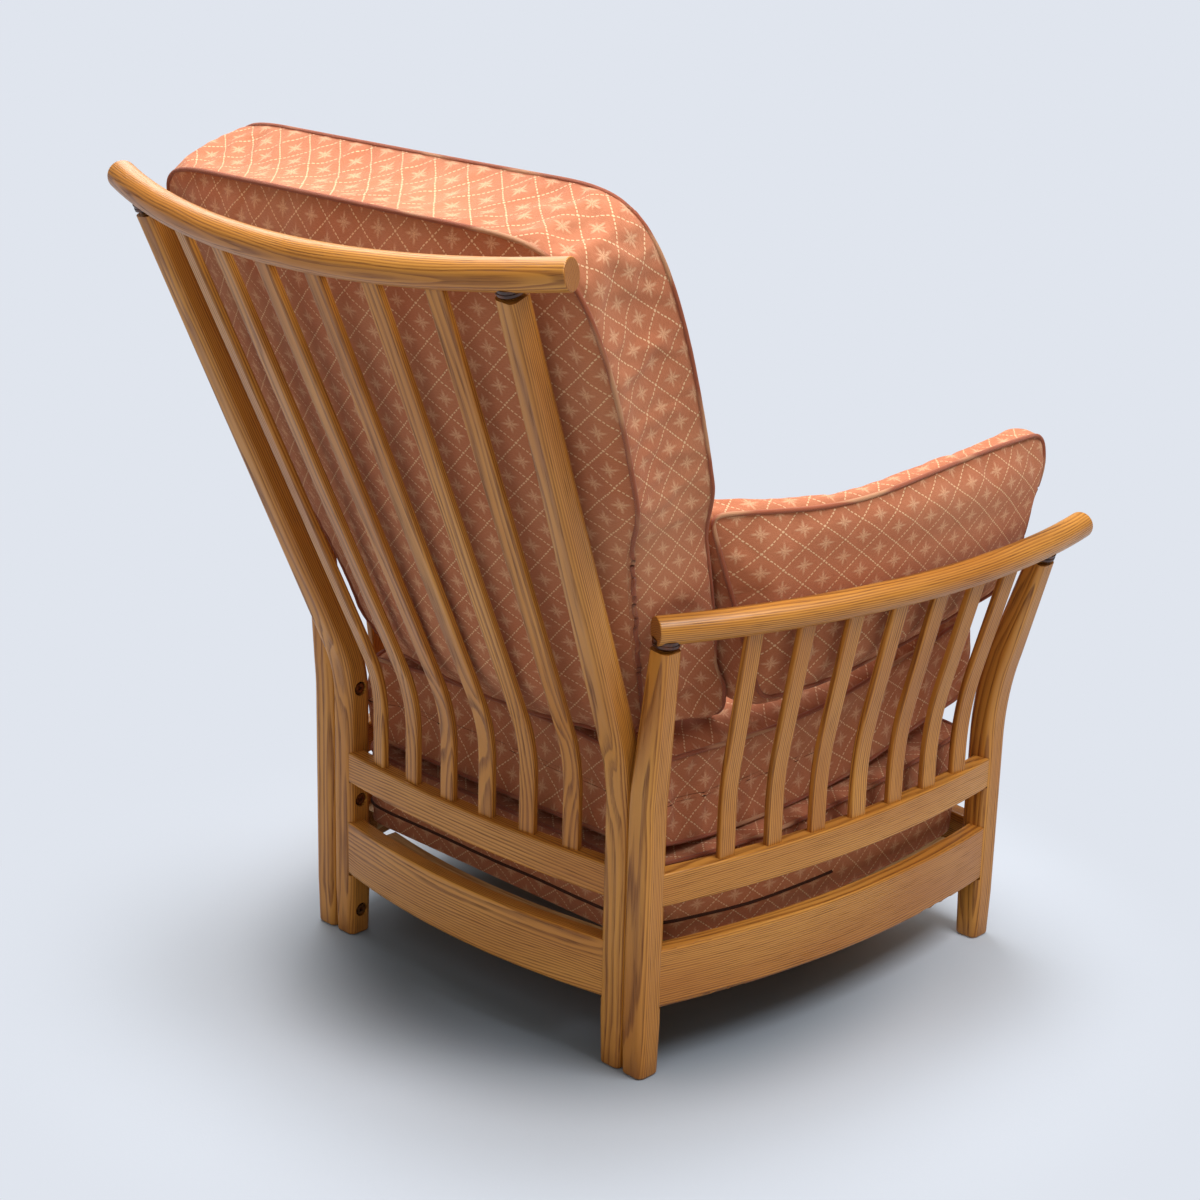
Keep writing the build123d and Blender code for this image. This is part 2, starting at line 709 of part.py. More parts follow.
# Back cushion: leans with the back, narrow between the rear posts, wider in front of them and above the arms
back_origin = Vector(0, 0, back_knee_height) - back_out * back_cushion_stand_off
arm_clear_length = (arm_height + arm_diameter - back_knee_height) / cos(lean)
head_start = arm_clear_length + (back_cushion_top - arm_clear_length) * head_start_share
head_corner = back_cushion_top - back_cushion_corner_height
back_outline = (
    (back_cushion_bottom, back_cushion_foot_half_width, back_cushion_front_extra),
    (back_cushion_waist_height, back_cushion_waist_half_width, back_cushion_waist_extra),
    (head_start, back_cushion_head_half_width, back_cushion_front_extra),
    (head_corner, back_cushion_head_half_width, back_cushion_front_extra),
    (back_cushion_top, back_cushion_head_half_width - back_cushion_corner_width, back_cushion_front_extra),
)
back_stations = []
for length, half_width, extra in back_outline:
    plane = Plane(origin=back_origin + back_up * length, x_dir=(-1, 0, 0), z_dir=back_up)
    front = half_width + extra
    share = (length - back_cushion_bottom) / (back_cushion_top - back_cushion_bottom)
    depth = back_cushion_depth - end_draw(share)
    corners = [(-half_width, 0), (half_width, 0), (front, depth), (-front, depth)]
    bulges = (back_rear_crown, cushion_side_bulge, back_front_crown, cushion_side_bulge)
    back_stations.append((plane, corners, bulges))
back = Cushion(back_stations)

# Arm cushion on the sitter's left: stands on the seat cushion, leans on the arm and follows its bow
arm_shares = (0, 0.35, 0.7, 1)
arm_rear_offset = back_cushion_stand_off + back_cushion_depth + arm_cushion_back_gap
arm_cushion_rear_y = (arm_height - back_knee_height) * tan(lean) - arm_rear_offset / cos(lean)


def arm_x(y: float) -> float:
    """How far out the arm's centre line is at a depth."""
    return arm_arc.meet(Vector(0, y, arm_height), to_left).X


def seat_top_at(y: float) -> float:
    """Height of the seat cushion's upper side edges at a depth."""
    return seat_bottom_at((seat_rear_y - y) / seat_length) + border_height


arm_stations = []
for share in arm_shares:
    y = arm_cushion_rear_y + (arm_cushion_front_y - arm_cushion_rear_y) * share
    tilt = lean * (1 - share)
    plane = Plane(origin=(0, y, arm_height), x_dir=(1, 0, 0), z_dir=(0, -cos(tilt), sin(tilt)))
    rise = arm_cushion_rear_rise + (arm_cushion_front_rise - arm_cushion_rear_rise) * share
    lift = arm_cushion_rear_lift + (arm_cushion_front_lift - arm_cushion_rear_lift) * share
    bottom = seat_top_at(y) + lift - arm_height
    low = Vector(arm_x(y + bottom * tan(tilt)) - arm_cushion_low_inset, bottom / cos(tilt))
    high = Vector(arm_x(y + rise * tan(tilt)) - arm_cushion_high_inset, rise / cos(tilt))
    up = (high - low).normalized()
    across = Vector(up.Y, up.X) * (arm_cushion_depth - end_draw(share))
    corners = [tuple(point)[:2] for point in (low - across, low, high, high - across)]
    bulges = (arm_cushion_bottom_crown, arm_cushion_crown, arm_cushion_crown, arm_cushion_crown)
    arm_stations.append((plane, corners, bulges))
arm = Cushion(arm_stations)

# Name every piece
for name, shape in (
    ("back_post", back_body), ("rear_post", rear_body), ("front_post", front_body), ("arm_bow", arm_rod),
    ("side_mid_rail", side_mid_rail), ("side_lower_rail", side_lower_rail),
    ("seat_bearer", cut(side_bearer, side_screws)),
):
    parts[f"{name}_left"] = shape
    parts[f"{name}_right"] = mirrored(shape)
for index, spindle in enumerate(side_spindles, 1):
    parts[f"side_spindle_left_{index}"] = spindle
    parts[f"side_spindle_right_{index}"] = mirrored(spindle)
for index, spindle in enumerate(back_spindles, 1):
    parts[f"back_spindle_{index}"] = spindle
parts["crest_bow"] = crest_rod
parts["back_mid_rail"] = back_mid_rail
parts["back_lower_rail"] = back_lower_rail
parts["front_rail"] = front_rail
parts["seat_bearer_rear"] = cut(back_bearer, back_screws)


def group(shapes: list) -> Compound:
    """Like fasteners as one node of separate solids."""
    return Compound(children=[largest(shape) for shape in shapes])


def both_sides(shapes: list) -> list:
    """The shapes of the sitter's left and right."""
    return shapes + [mirrored(shape) for shape in shapes]


parts["joint_collars"] = group(both_sides([crest_collar, rear_collar, front_collar]))
parts["frame_bolts"] = group(both_sides(bolts))
parts["bolt_washers"] = group(both_sides(washers))
parts["bolt_inserts"] = group(both_sides(inserts))
parts["bearer_screws"] = group(both_sides(side_screws) + back_screws)
parts["seat_base_cover"] = base_cover
parts["seat_base_frame"] = base_frame
parts["seat_base_webbing"] = group(webbing)
parts["seat_base_foam"] = base_foam

for name, cushion in (("seat_cushion", seat), ("back_cushion", back)):
    parts[f"{name}_cover"] = cushion.cover()
    parts[f"{name}_filling"] = cushion.solid(cover_thickness)
for name, shape in (("cover", arm.cover()), ("filling", arm.solid(cover_thickness))):
    parts[f"arm_cushion_left_{name}"] = shape
    parts[f"arm_cushion_right_{name}"] = mirrored(shape)

# The origin stands on the floor under the middle of the chair
boxes = [shape.bounding_box() for shape in parts.values()]
middle_y = (min(box.min.Y for box in boxes) + max(box.max.Y for box in boxes)) / 2
middle_x = (min(box.min.X for box in boxes) + max(box.max.X for box in boxes)) / 2
os.makedirs("parts", exist_ok=True)
for name, shape in parts.items():
    export_step(Pos(-middle_x, -middle_y, 0) * shape, f"parts/{name}.step")
print("nodes", len(parts), "shift in y", round(-middle_y, 3))
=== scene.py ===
"""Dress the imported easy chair: ash frame, dark turned collars and loose piped cushions.

Lengths are in metres. Outlines of the cushions are given in chair coordinates: X to the
sitter's left, Y from the line of the rear posts with the front negative, Z from the floor.
"""

import logging
from dataclasses import dataclass, field
from enum import Enum
from math import cos, pi, radians, sin
from typing import ClassVar

import bpy
import numpy as np
from mathutils import Matrix, Vector


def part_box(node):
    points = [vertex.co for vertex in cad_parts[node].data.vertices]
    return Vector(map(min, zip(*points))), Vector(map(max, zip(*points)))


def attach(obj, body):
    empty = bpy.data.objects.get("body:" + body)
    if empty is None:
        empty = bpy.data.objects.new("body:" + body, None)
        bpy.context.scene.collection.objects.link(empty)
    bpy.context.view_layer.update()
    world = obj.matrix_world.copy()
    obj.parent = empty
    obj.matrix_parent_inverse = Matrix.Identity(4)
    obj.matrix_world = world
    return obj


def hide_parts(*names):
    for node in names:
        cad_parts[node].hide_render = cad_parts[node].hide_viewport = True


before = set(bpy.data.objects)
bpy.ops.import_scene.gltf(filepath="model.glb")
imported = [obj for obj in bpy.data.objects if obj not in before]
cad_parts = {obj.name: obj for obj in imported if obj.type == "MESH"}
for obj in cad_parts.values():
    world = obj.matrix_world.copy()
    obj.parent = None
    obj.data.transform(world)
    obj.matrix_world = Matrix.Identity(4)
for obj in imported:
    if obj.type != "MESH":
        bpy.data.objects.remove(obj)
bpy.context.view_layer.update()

log = logging.getLogger("easy_chair")
Colour = tuple[float, float, float, float]
Triple = tuple[float, float, float]
Socket = bpy.types.NodeSocket
X_AXIS, Y_AXIS, Z_AXIS = Vector((1, 0, 0)), Vector((0, 1, 0)), Vector((0, 0, 1))

washers_low, washers_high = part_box("bolt_washers")
POST_LINE = (washers_low.y + washers_high.y) / 2
CLOTH_LAYER = "threads"
SHADE_LAYER = "seam_shade"


def srgb(red: float, green: float, blue: float) -> Colour:
    """Turn a colour as a screen shows it into the linear one that shaders take.

    Args:
        red, green, blue: Channels from 0 to 255.

    Returns:
        The linear colour with full alpha.
    """
    channels = np.array([red, green, blue]) / 255
    linear = np.where(channels < 0.04045, channels / 12.92, ((channels + 0.055) / 1.055) ** 2.4)
    return (*(float(value) for value in linear), 1.0)


class Graph:
    """A material's node tree with short ways to add its nodes."""

    def __init__(self, name: str) -> None:
        """Start an empty material of the given name with its output and one main shader."""
        self.material = bpy.data.materials.new(name)
        self.material.use_nodes = True
        self.nodes = self.material.node_tree.nodes
        self.links = self.material.node_tree.links
        self.nodes.clear()
        self.shader = self.nodes.new("ShaderNodeBsdfPrincipled")
        output = self.nodes.new("ShaderNodeOutputMaterial")
        self.links.new(self.shader.outputs["BSDF"], output.inputs["Surface"])

    def plug(self, socket: Socket, value: object) -> None:
        """Link a socket to another one, or set its value.

        Args:
            socket: The input to fill.
            value: An output socket, a number, a vector or a colour.
        """
        if isinstance(value, Socket):
            self.links.new(value, socket)
        else:
            socket.default_value = value

    def node(self, kind: str, output: str | int, inputs: dict | None = None, **settings: object) -> Socket:
        """Add a node.

        Args:
            kind: Its type, without the words that all types start with.
            output: The output that is wanted.
            inputs: Sockets or fixed values by the input's name or number.
            settings: Its own properties.

        Returns:
            The output's socket.
        """
        node = self.nodes.new(f"ShaderNode{kind}")
        for name, value in settings.items():
            setattr(node, name, value)
        for key, value in (inputs or {}).items():
            self.plug(node.inputs[key], value)
        return node.outputs[output]

    def math(self, operation: str, *values: object) -> Socket:
        """Return the result of a Math node for sockets or numbers."""
        return self.node("Math", "Value", dict(enumerate(values)), operation=operation)

    def add(self, first: object, second: object) -> Socket:
        """Return the sum of two sockets or numbers."""
        return self.math("ADD", first, second)

    def times(self, first: object, second: object) -> Socket:
        """Return the product of two sockets or numbers."""
        return self.math("MULTIPLY", first, second)

    def linear(self, value: object, factor: object, start: object) -> Socket:
        """Return start + factor * value."""
        return self.add(self.times(value, factor), start)

    def dot(self, point: Socket, axis: Vector) -> Socket:
        """Return how far a point lies along a fixed axis."""
        return self.node("VectorMath", "Value", {0: point, 1: axis}, operation="DOT_PRODUCT")

    def shifted(self, point: Socket, offset: Vector) -> Socket:
        """Return a point moved by a fixed offset."""
        return self.node("VectorMath", "Vector", {0: point, 1: offset}, operation="ADD")

    def stretched(self, point: Socket, scale: Triple) -> Socket:
        """Return a point scaled along each axis."""
        return self.node("VectorMath", "Vector", {0: point, 1: scale}, operation="MULTIPLY")

    def combine(self, x: object, y: object, z: object) -> Socket:
        """Return a vector made of three sockets or numbers."""
        return self.node("CombineXYZ", "Vector", {0: x, 1: y, 2: z})

    def place(self) -> Socket:
        """Return the point in the object's own space."""
        return self.node("TexCoord", "Object")

    def reach(self, point: Socket) -> Socket:
        """Return how far a point lies from the Z axis."""
        squares = [self.math("POWER", self.dot(point, axis), 2.0) for axis in (X_AXIS, Y_AXIS)]
        return self.math("SQRT", self.add(*squares))

    def facing(self, axis: Vector) -> Socket:
        """Return how squarely the surface faces along a fixed axis, from 0 to 1."""
        return self.math("ABSOLUTE", self.dot(self.node("TexCoord", "Normal"), axis))

    def cloth_place(self) -> Socket:
        """Return the point on the cloth, in metres along its own threads."""
        return self.node("UVMap", "UV", uv_map=CLOTH_LAYER)

    def noise(self, point: Socket, scale: float, detail: float = 2.0, roughness: float = 0.5,
              stretch: Triple | None = None) -> Socket:
        """Add a noise.

        Args:
            point: Where it is read.
            scale: Its waves for each metre.
            detail: Its finer octaves.
            roughness: How strong these are.
            stretch: Factors for the point's coordinates; a small one draws the noise out.

        Returns:
            Its value from 0 to 1.
        """
        at = point if stretch is None else self.stretched(point, stretch)
        inputs = {"Vector": at, "Scale": scale, "Detail": detail, "Roughness": roughness}
        return self.node("TexNoise", "Fac", inputs)

    def step(self, value: Socket, low: float, high: float) -> Socket:
        """Return 0 below low, 1 above high and a smooth run between, or the reverse where low is higher."""
        inputs = {"Value": value, "From Min": min(low, high), "From Max": max(low, high),
                  "To Min": float(low >= high), "To Max": float(low < high)}
        return self.node("MapRange", "Result", inputs, interpolation_type="SMOOTHSTEP")

    def mix(self, share: object, first: object, second: object, mode: str = "MIX") -> Socket:
        """Mix two colours.

        Args:
            share: How much of the second shows.
            first, second: Sockets or colours.
            mode: The way they mix.

        Returns:
            The mixed colour.
        """
        return self.node("Mix", 2, {0: share, 6: first, 7: second}, data_type="RGBA", blend_type=mode)

    def finish(self, colour: Socket, roughness: Socket, height: Socket, relief: float,
               **settings: float) -> bpy.types.Material:
        """Feed the main shader.

        Args:
            colour: The base colour.
            roughness: The roughness.
            height: The relief from 0 to 1.
            relief: The relief's depth in metres.
            settings: Fixed values of the shader's other sockets.

        Returns:
            The finished material.
        """
        normal = self.node("Bump", "Normal", {"Strength": 1.0, "Distance": relief, "Height": height})
        inputs = {"Normal": normal, "Base Color": colour, "Roughness": roughness}
        inputs.update((name.replace("_", " "), value) for name, value in settings.items())
        for name, value in inputs.items():
            self.plug(self.shader.inputs[name], value)
        return self.material


@dataclass(frozen=True)
class BentRun:
    """Grain that stands upright to a knee and then leans with its post or spindle."""

    foot: Vector
    knee: float
    slope: Vector
    along: ClassVar[Vector] = Z_AXIS
    bend: ClassVar[float] = 0.12

    def coordinates(self, graph: Graph) -> Socket:
        """Return the point in grain coordinates: two across the wood, the third along it."""
        point = graph.shifted(graph.place(), -self.foot)
        height = graph.dot(point, Z_AXIS)
        past = graph.math("SMOOTH_MAX", graph.add(height, -self.knee), 0.0, self.bend)
        across = [graph.linear(past, -self.slope.dot(axis), graph.dot(point, axis))
                  for axis in (X_AXIS, Y_AXIS)]
        return graph.combine(*across, height)


@dataclass(frozen=True)
class BowedRun:
    """Grain that follows a bent rod or rail."""

    middle: Vector
    along: Vector
    across: Vector
    bow: float

    def coordinates(self, graph: Graph) -> Socket:
        """Return the point in grain coordinates: two across the wood, the third along it."""
        point = graph.shifted(graph.place(), -self.middle)
        length = graph.dot(point, self.along)
        side = graph.linear(graph.times(length, length), self.bow, graph.dot(point, self.across))
        return graph.combine(side, graph.dot(point, self.along.cross(self.across)), length)


Run = BentRun | BowedRun


def rows_of(data: object, key: str, count: int) -> np.ndarray:
    """Return vectors that Blender stores as rows.

    Args:
        data: The collection that holds them.
        key: The name of the vector.
        count: How many there are.

    Returns:
        One row for each.
    """
    flat = np.empty(count * 3, np.float32)
    data.foreach_get(key, flat)
    return flat.reshape(-1, 3).astype(float)


def points_of(mesh: bpy.types.Mesh) -> np.ndarray:
    """Return a mesh's points as rows."""
    return rows_of(mesh.vertices, "co", len(mesh.vertices))


def bent_run(node: str, knee: float) -> BentRun:
    """Read the grain of a post or spindle from its solid.

    Args:
        node: The CAD node.
        knee: How high its knee is.

    Returns:
        Its grain.
    """
    foot_slice, top_slice = 0.004, 0.012
    points = points_of(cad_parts[node].data)
    lowest, highest = points[:, 2].min(), points[:, 2].max()
    foot = points[points[:, 2] < lowest + foot_slice].mean(axis=0)
    top = points[points[:, 2] > highest - top_slice].mean(axis=0)
    slope = (top - foot) / (top[2] - knee)
    return BentRun(Vector((*foot[:2], 0)), knee, Vector((*slope[:2], 0)))


def bowed_run(node: str) -> BowedRun:
    """Read the grain of a rod or rail from its solid.

    Args:
        node: The CAD node.

    Returns:
        Its grain.
    """
    end_share, body_share = 0.03, 0.1
    points = points_of(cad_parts[node].data)
    low, high = points.min(axis=0), points.max(axis=0)
    long_axis = int(np.argmax(high - low))
    share = (points[:, long_axis] - low[long_axis]) / (high - low)[long_axis]
    start, end = points[share < end_share].mean(axis=0), points[share > 1 - end_share].mean(axis=0)
    along = Vector(end - start).normalized()
    middle = Vector((start + end) / 2)
    body = points[np.abs(share - 0.5) < body_share]
    bowed = Vector(body.mean(axis=0) if len(body) else points.mean(axis=0)) - middle
    bowed -= along * bowed.dot(along)
    bow = bowed.length / (0.5 * float(np.linalg.norm(end - start))) ** 2
    return BowedRun(middle + bowed, along, bowed.normalized(), bow)


@dataclass(frozen=True)
class AshWood:
    """Ash under a satin honey lacquer: porous dark early wood in rings, with long open pores."""

    pale: Colour = srgb(208, 146, 66)
    honey: Colour = srgb(186, 120, 46)
    early: Colour = srgb(126, 68, 20)
    pore: Colour = srgb(84, 42, 12)
    ring_width: float = 0.0026
    pith_offset: float = 0.060
    piece_offset: float = 1.7
    unevenness: float = 0.0030
    sheen_roughness: float = 0.33
    pore_depth: float = 0.00018
    # Below this height above the floor the wood turns darker towards its foot.
    foot_darkening_height: float = 0.030

    def material(self, name: str, run: Run, turn: float, figure: float, count: int) -> bpy.types.Material:
        """Make the wood of one piece.

        Args:
            name: The material's name.
            run: How its grain runs.
            turn: Where round the piece the tree's heart lies, in radians.
            figure: How far the rings stray, in metres.
            count: The piece's number, which makes its figure its own.

        Returns:
            The material.
        """
        graph = Graph(name)
        heart = Vector((cos(turn), sin(turn), 0)) * self.pith_offset
        grain = graph.shifted(run.coordinates(graph), heart + Z_AXIS * (self.piece_offset * count))

        def drawn(scale: float, share: float, detail: float = 2.0, roughness: float = 0.5) -> Socket:
            """Return a noise that is drawn out along the grain by a share."""
            return graph.noise(grain, scale, detail, roughness, (1.0, 1.0, share))

        radius = graph.linear(drawn(16.0, 0.16, 2.0, 0.45), figure, graph.reach(grain))
        radius = graph.linear(drawn(90.0, 0.05, 1.0), self.unevenness, radius)
        growth = graph.times(radius, 1 / self.ring_width)
        ring = graph.math("FRACT", growth)
        seasons = graph.noise(graph.combine(growth, 0.0, 0.0), 0.9, 1.0)
        early = graph.times(graph.step(ring, 0.0, 0.16), graph.step(ring, 0.78, 0.22))
        early = graph.times(early, graph.step(seasons, 0.12, 0.52))
        pores = graph.step(drawn(760.0, 0.030, 1.0, 0.6), 0.50, 0.64)
        pores = graph.times(pores, graph.linear(early, 0.90, 0.10))
        colour = graph.mix(graph.step(drawn(14.0, 0.25), 0.25, 0.75), self.pale, self.honey)
        end_grain = graph.times(graph.step(graph.facing(run.along), 0.70, 0.95), 0.55)
        # Darker towards the floor: up to 35 percent of the early-wood colour is mixed in, most at the floor
        # and none above the set height.
        darker_at_foot = graph.times(graph.step(graph.dot(graph.place(), Z_AXIS), self.foot_darkening_height, 0.0), 0.35)
        for share, layer in (
            (graph.times(early, graph.linear(drawn(320.0, 0.02, 2.0, 0.6), 0.70, 0.30)), self.early),
            (graph.times(pores, 0.50), self.pore), (end_grain, self.early), (darker_at_foot, self.early),
        ):
            colour = graph.mix(share, colour, layer)
        smears = graph.linear(graph.noise(graph.place(), 9.0, 3.0), 0.10, self.sheen_roughness)
        height = graph.math("SUBTRACT", 1.0, graph.linear(pores, 0.7, graph.times(early, 0.15)))
        return graph.finish(colour, graph.linear(pores, 0.20, smears), height, self.pore_depth,
                            Coat_Weight=0.12, Coat_Roughness=0.24, Specular_IOR_Level=0.36)


@dataclass(frozen=True)
class Grained:
    """A plain material: one colour clouded with another, over a fine relief drawn out one way.

    The roughness is sheen[1] + sheen[0] * the relief.
    """

    name: str
    base: Colour
    cloud: Colour
    cloud_noise: Triple
    cloud_range: tuple[float, float]
    fine_noise: tuple[float, float]
    fine_stretch: Triple
    sheen: tuple[float, float]
    relief: float
    cloud_stretch: Triple | None = None
    settings: tuple[tuple[str, float], ...] = ()

    def material(self, name: str = "", run: Run | None = None) -> bpy.types.Material:
        """Make the material.

        Args:
            name: A name of its own, for a piece with its own run of grain.
            run: That run, or none for a material that follows the object's axes.

        Returns:
            The material.
        """
        graph = Graph(name or self.name)
        place = run.coordinates(graph) if run else graph.place()
        fine = graph.noise(place, *self.fine_noise, stretch=self.fine_stretch)
        cloud = graph.noise(place, *self.cloud_noise, stretch=self.cloud_stretch)
        colour = graph.mix(graph.step(cloud, *self.cloud_range), self.base, self.cloud)
        roughness = graph.linear(fine, *self.sheen)
        return graph.finish(colour, roughness, fine, self.relief, **dict(self.settings))


def metal(name: str, bright: Colour, dull: Colour, roughness: float) -> Grained:
    """Return a plain metal with brushed streaks and a little dirt.

    Args:
        name: The material's name.
        bright, dull: The clean colour and the dirty one.
        roughness: Its least roughness.

    Returns:
        The metal's look.
    """
    return Grained(name, bright, dull, (210.0, 3.0, 0.6), (0.40, 0.72), (2200.0, 2.0), (0.15, 1.0, 1.0),
                   (0.20, roughness), 0.00006, settings=(("Metallic", 0.9),))


@dataclass(frozen=True)
class LatticeCloth:
    """Terracotta furnishing cloth with a traditional lattice of dashed lines and a burst in each lozenge."""

    ground: Colour = srgb(200, 126, 92)
    shade: Colour = srgb(174, 100, 66)
    thread: Colour = srgb(240, 206, 164)
    burst_thread: Colour = srgb(230, 184, 146)
    seam_shade: Colour = srgb(110, 54, 34)
    lozenge_width: float = 0.050
    lozenge_height: float = 0.045
    line_width: float = 0.0016
    dashes: float = 7.0
    thread_pitch: float = 0.0009
    burst_radius: float = 0.0062
    ray_lengths: tuple[float, float] = (0.0024, 0.0016)
    relief: float = 0.0006

    def weave(self, graph: Graph, place: Socket) -> Socket:
        """Return the relief of crossing threads, from 0 to 1.

        Args:
            graph: The material's graph.
            place: The point on the cloth.
        """
        turns = 2 * pi / self.thread_pitch
        waves = [graph.math("SINE", graph.times(graph.dot(place, axis), turns)) for axis in (X_AXIS, Y_AXIS)]
        slubs = graph.noise(place, 900.0, 2.0, 0.6, (0.22, 1.0, 1.0))
        return graph.linear(slubs, 0.5, graph.linear(graph.times(*waves), 0.25, 0.25))

    def wrapped(self, graph: Graph, value: Socket) -> Socket:
        """Return a value's distance from the nearest whole number, from -0.5 to 0.5."""
        return graph.math("WRAP", value, 0.5, -0.5)

    def line(self, graph: Graph, across: Socket, along: Socket) -> Socket:
        """Return where one family of dashed lines shows.

        Args:
            graph: The material's graph.
            across: A coordinate that is whole on each line.
            along: The coordinate along the lines.
        """
        half = self.line_width / (2 * self.lozenge_height)
        distance = graph.math("ABSOLUTE", self.wrapped(graph, across))
        beat = graph.math("ABSOLUTE", self.wrapped(graph, graph.times(along, self.dashes)))
        return graph.times(graph.step(distance, half * 1.6, half * 0.7), graph.step(beat, 0.38, 0.26))

    def burst(self, graph: Graph, right: Socket, left: Socket) -> Socket:
        """Return where the soft eight-pointed burst shows in each lozenge.

        Its edge lies at burst_radius + ray_lengths[0] * cos 8a + ray_lengths[1] * cos 4a.

        Args:
            graph: The material's graph.
            right, left: The two diagonal coordinates, whole on the lattice lines.
        """
        first, second = (self.wrapped(graph, graph.add(value, 0.5)) for value in (right, left))
        wide = graph.times(graph.add(first, second), 0.5 * self.lozenge_width)
        tall = graph.times(graph.math("SUBTRACT", first, second), 0.5 * self.lozenge_height)
        reach = graph.math("SQRT", graph.add(graph.times(wide, wide), graph.times(tall, tall)))
        angle = graph.math("ARCTAN2", tall, wide)
        eight, four = (graph.times(graph.math("COSINE", graph.times(angle, points)), length)
                       for points, length in zip((8.0, 4.0), self.ray_lengths))
        tip = graph.add(graph.add(eight, four), self.burst_radius)
        return graph.step(graph.math("SUBTRACT", reach, tip), 0.0028, -0.0040)

    def material(self) -> bpy.types.Material:
        """Return the cloth's material."""
        graph = Graph("lattice_cloth")
        place = graph.cloth_place()
        across = graph.times(graph.dot(place, X_AXIS), 1 / self.lozenge_width)
        up = graph.times(graph.dot(place, Y_AXIS), 1 / self.lozenge_height)
        drift = graph.times(graph.noise(place, 160.0, 1.0), 0.05)
        right, left = (graph.add(graph.math(way, across, up), drift) for way in ("ADD", "SUBTRACT"))
        lines = graph.math("MAXIMUM", self.line(graph, right, left), self.line(graph, left, right))
        burst = self.burst(graph, right, left)
        weave = self.weave(graph, place)
        flecks = graph.step(graph.noise(place, 1100.0, 1.0, stretch=(0.5, 1.0, 1.0)), 0.35, 0.60)
        colour = graph.mix(graph.step(weave, 0.25, 0.75), self.shade, self.ground)
        for share, layer in (
            (graph.times(graph.step(graph.noise(graph.place(), 7.0, 3.0), 0.35, 0.75), 0.08), self.thread),
            (graph.times(burst, graph.linear(flecks, 0.50, 0.26)), self.burst_thread),
            (graph.times(lines, 0.85), self.thread),
            (graph.times(graph.node("Attribute", "Fac", attribute_name=SHADE_LAYER), 0.30), self.seam_shade),
        ):
            colour = graph.mix(share, colour, layer)
        height = graph.linear(weave, 0.6, graph.times(graph.math("MAXIMUM", lines, burst), 0.4))
        return graph.finish(colour, graph.linear(weave, 0.12, 0.82), height, self.relief, Sheen_Weight=0.10,
                            Sheen_Roughness=0.5, Specular_IOR_Level=0.2)


@dataclass(frozen=True)
class CordCloth:
    """Bias-cut cloth round the piping cord."""

    ground: Colour = srgb(158, 84, 56)
    fleck: Colour = srgb(220, 172, 130)
    thread_pitch: float = 0.0011

    def material(self) -> bpy.types.Material:
        """Return the cloth of the cord, with slanting threads."""
        graph = Graph("piping_cloth")
        place = graph.cloth_place()
        slant = graph.add(graph.dot(place, X_AXIS), graph.dot(place, Y_AXIS))
        threads = graph.linear(graph.math("SINE", graph.times(slant, 2 * pi / self.thread_pitch)), 0.5, 0.5)
        patches = graph.noise(place, 42.0, 1.0, stretch=(1.0, 0.2, 1.0))
        colour = graph.mix(graph.times(graph.step(patches, 0.56, 0.66), 0.55), self.ground, self.fleck)
        return graph.finish(colour, graph.linear(threads, 0.1, 0.84), threads, 0.0003, Sheen_Weight=0.2,
                            Specular_IOR_Level=0.2)


@dataclass(frozen=True)
class PlainCloth:
    """An unpatterned woven cloth or tape, with slightly slanting threads."""

    name: str
    ground: Colour
    shade: Colour
    thread_pitch: float
    warp: ClassVar[Vector] = Vector((1, 0, 0.3))
    weft: ClassVar[Vector] = Vector((0, 1, 0.4))

    def material(self) -> bpy.types.Material:
        """Return the cloth's material, woven along the object's own axes."""
        graph = Graph(self.name)
        place = graph.place()
        turns = 2 * pi / self.thread_pitch
        waves = [graph.math("SINE", graph.times(graph.dot(place, way), turns))
                 for way in (self.warp, self.weft)]
        weave = graph.linear(graph.times(*waves), 0.5, 0.5)
        slubs = graph.noise(place, 420.0, 2.0)
        colour = graph.mix(graph.times(graph.add(weave, slubs), 0.5), self.shade, self.ground)
        return graph.finish(colour, graph.linear(weave, 0.1, 0.8), weave, 0.0004, Specular_IOR_Level=0.2)


@dataclass(frozen=True)
class Lamp:
    """A square soft light that hangs at a place and faces the chair's middle."""

    name: str
    place: Triple
    size: float
    watts: float
    aim: ClassVar[Vector] = Vector((0, 0, 0.45))

    def hang(self) -> None:
        """Put the light into the scene."""
        data = bpy.data.lights.new(self.name, "AREA")
        data.size, data.energy = self.size, self.watts
        lamp = bpy.data.objects.new(self.name, data)
        lamp.location = self.place
        lamp.rotation_euler = (self.aim - Vector(self.place)).to_track_quat("-Z", "Y").to_euler()
        bpy.context.scene.collection.objects.link(lamp)


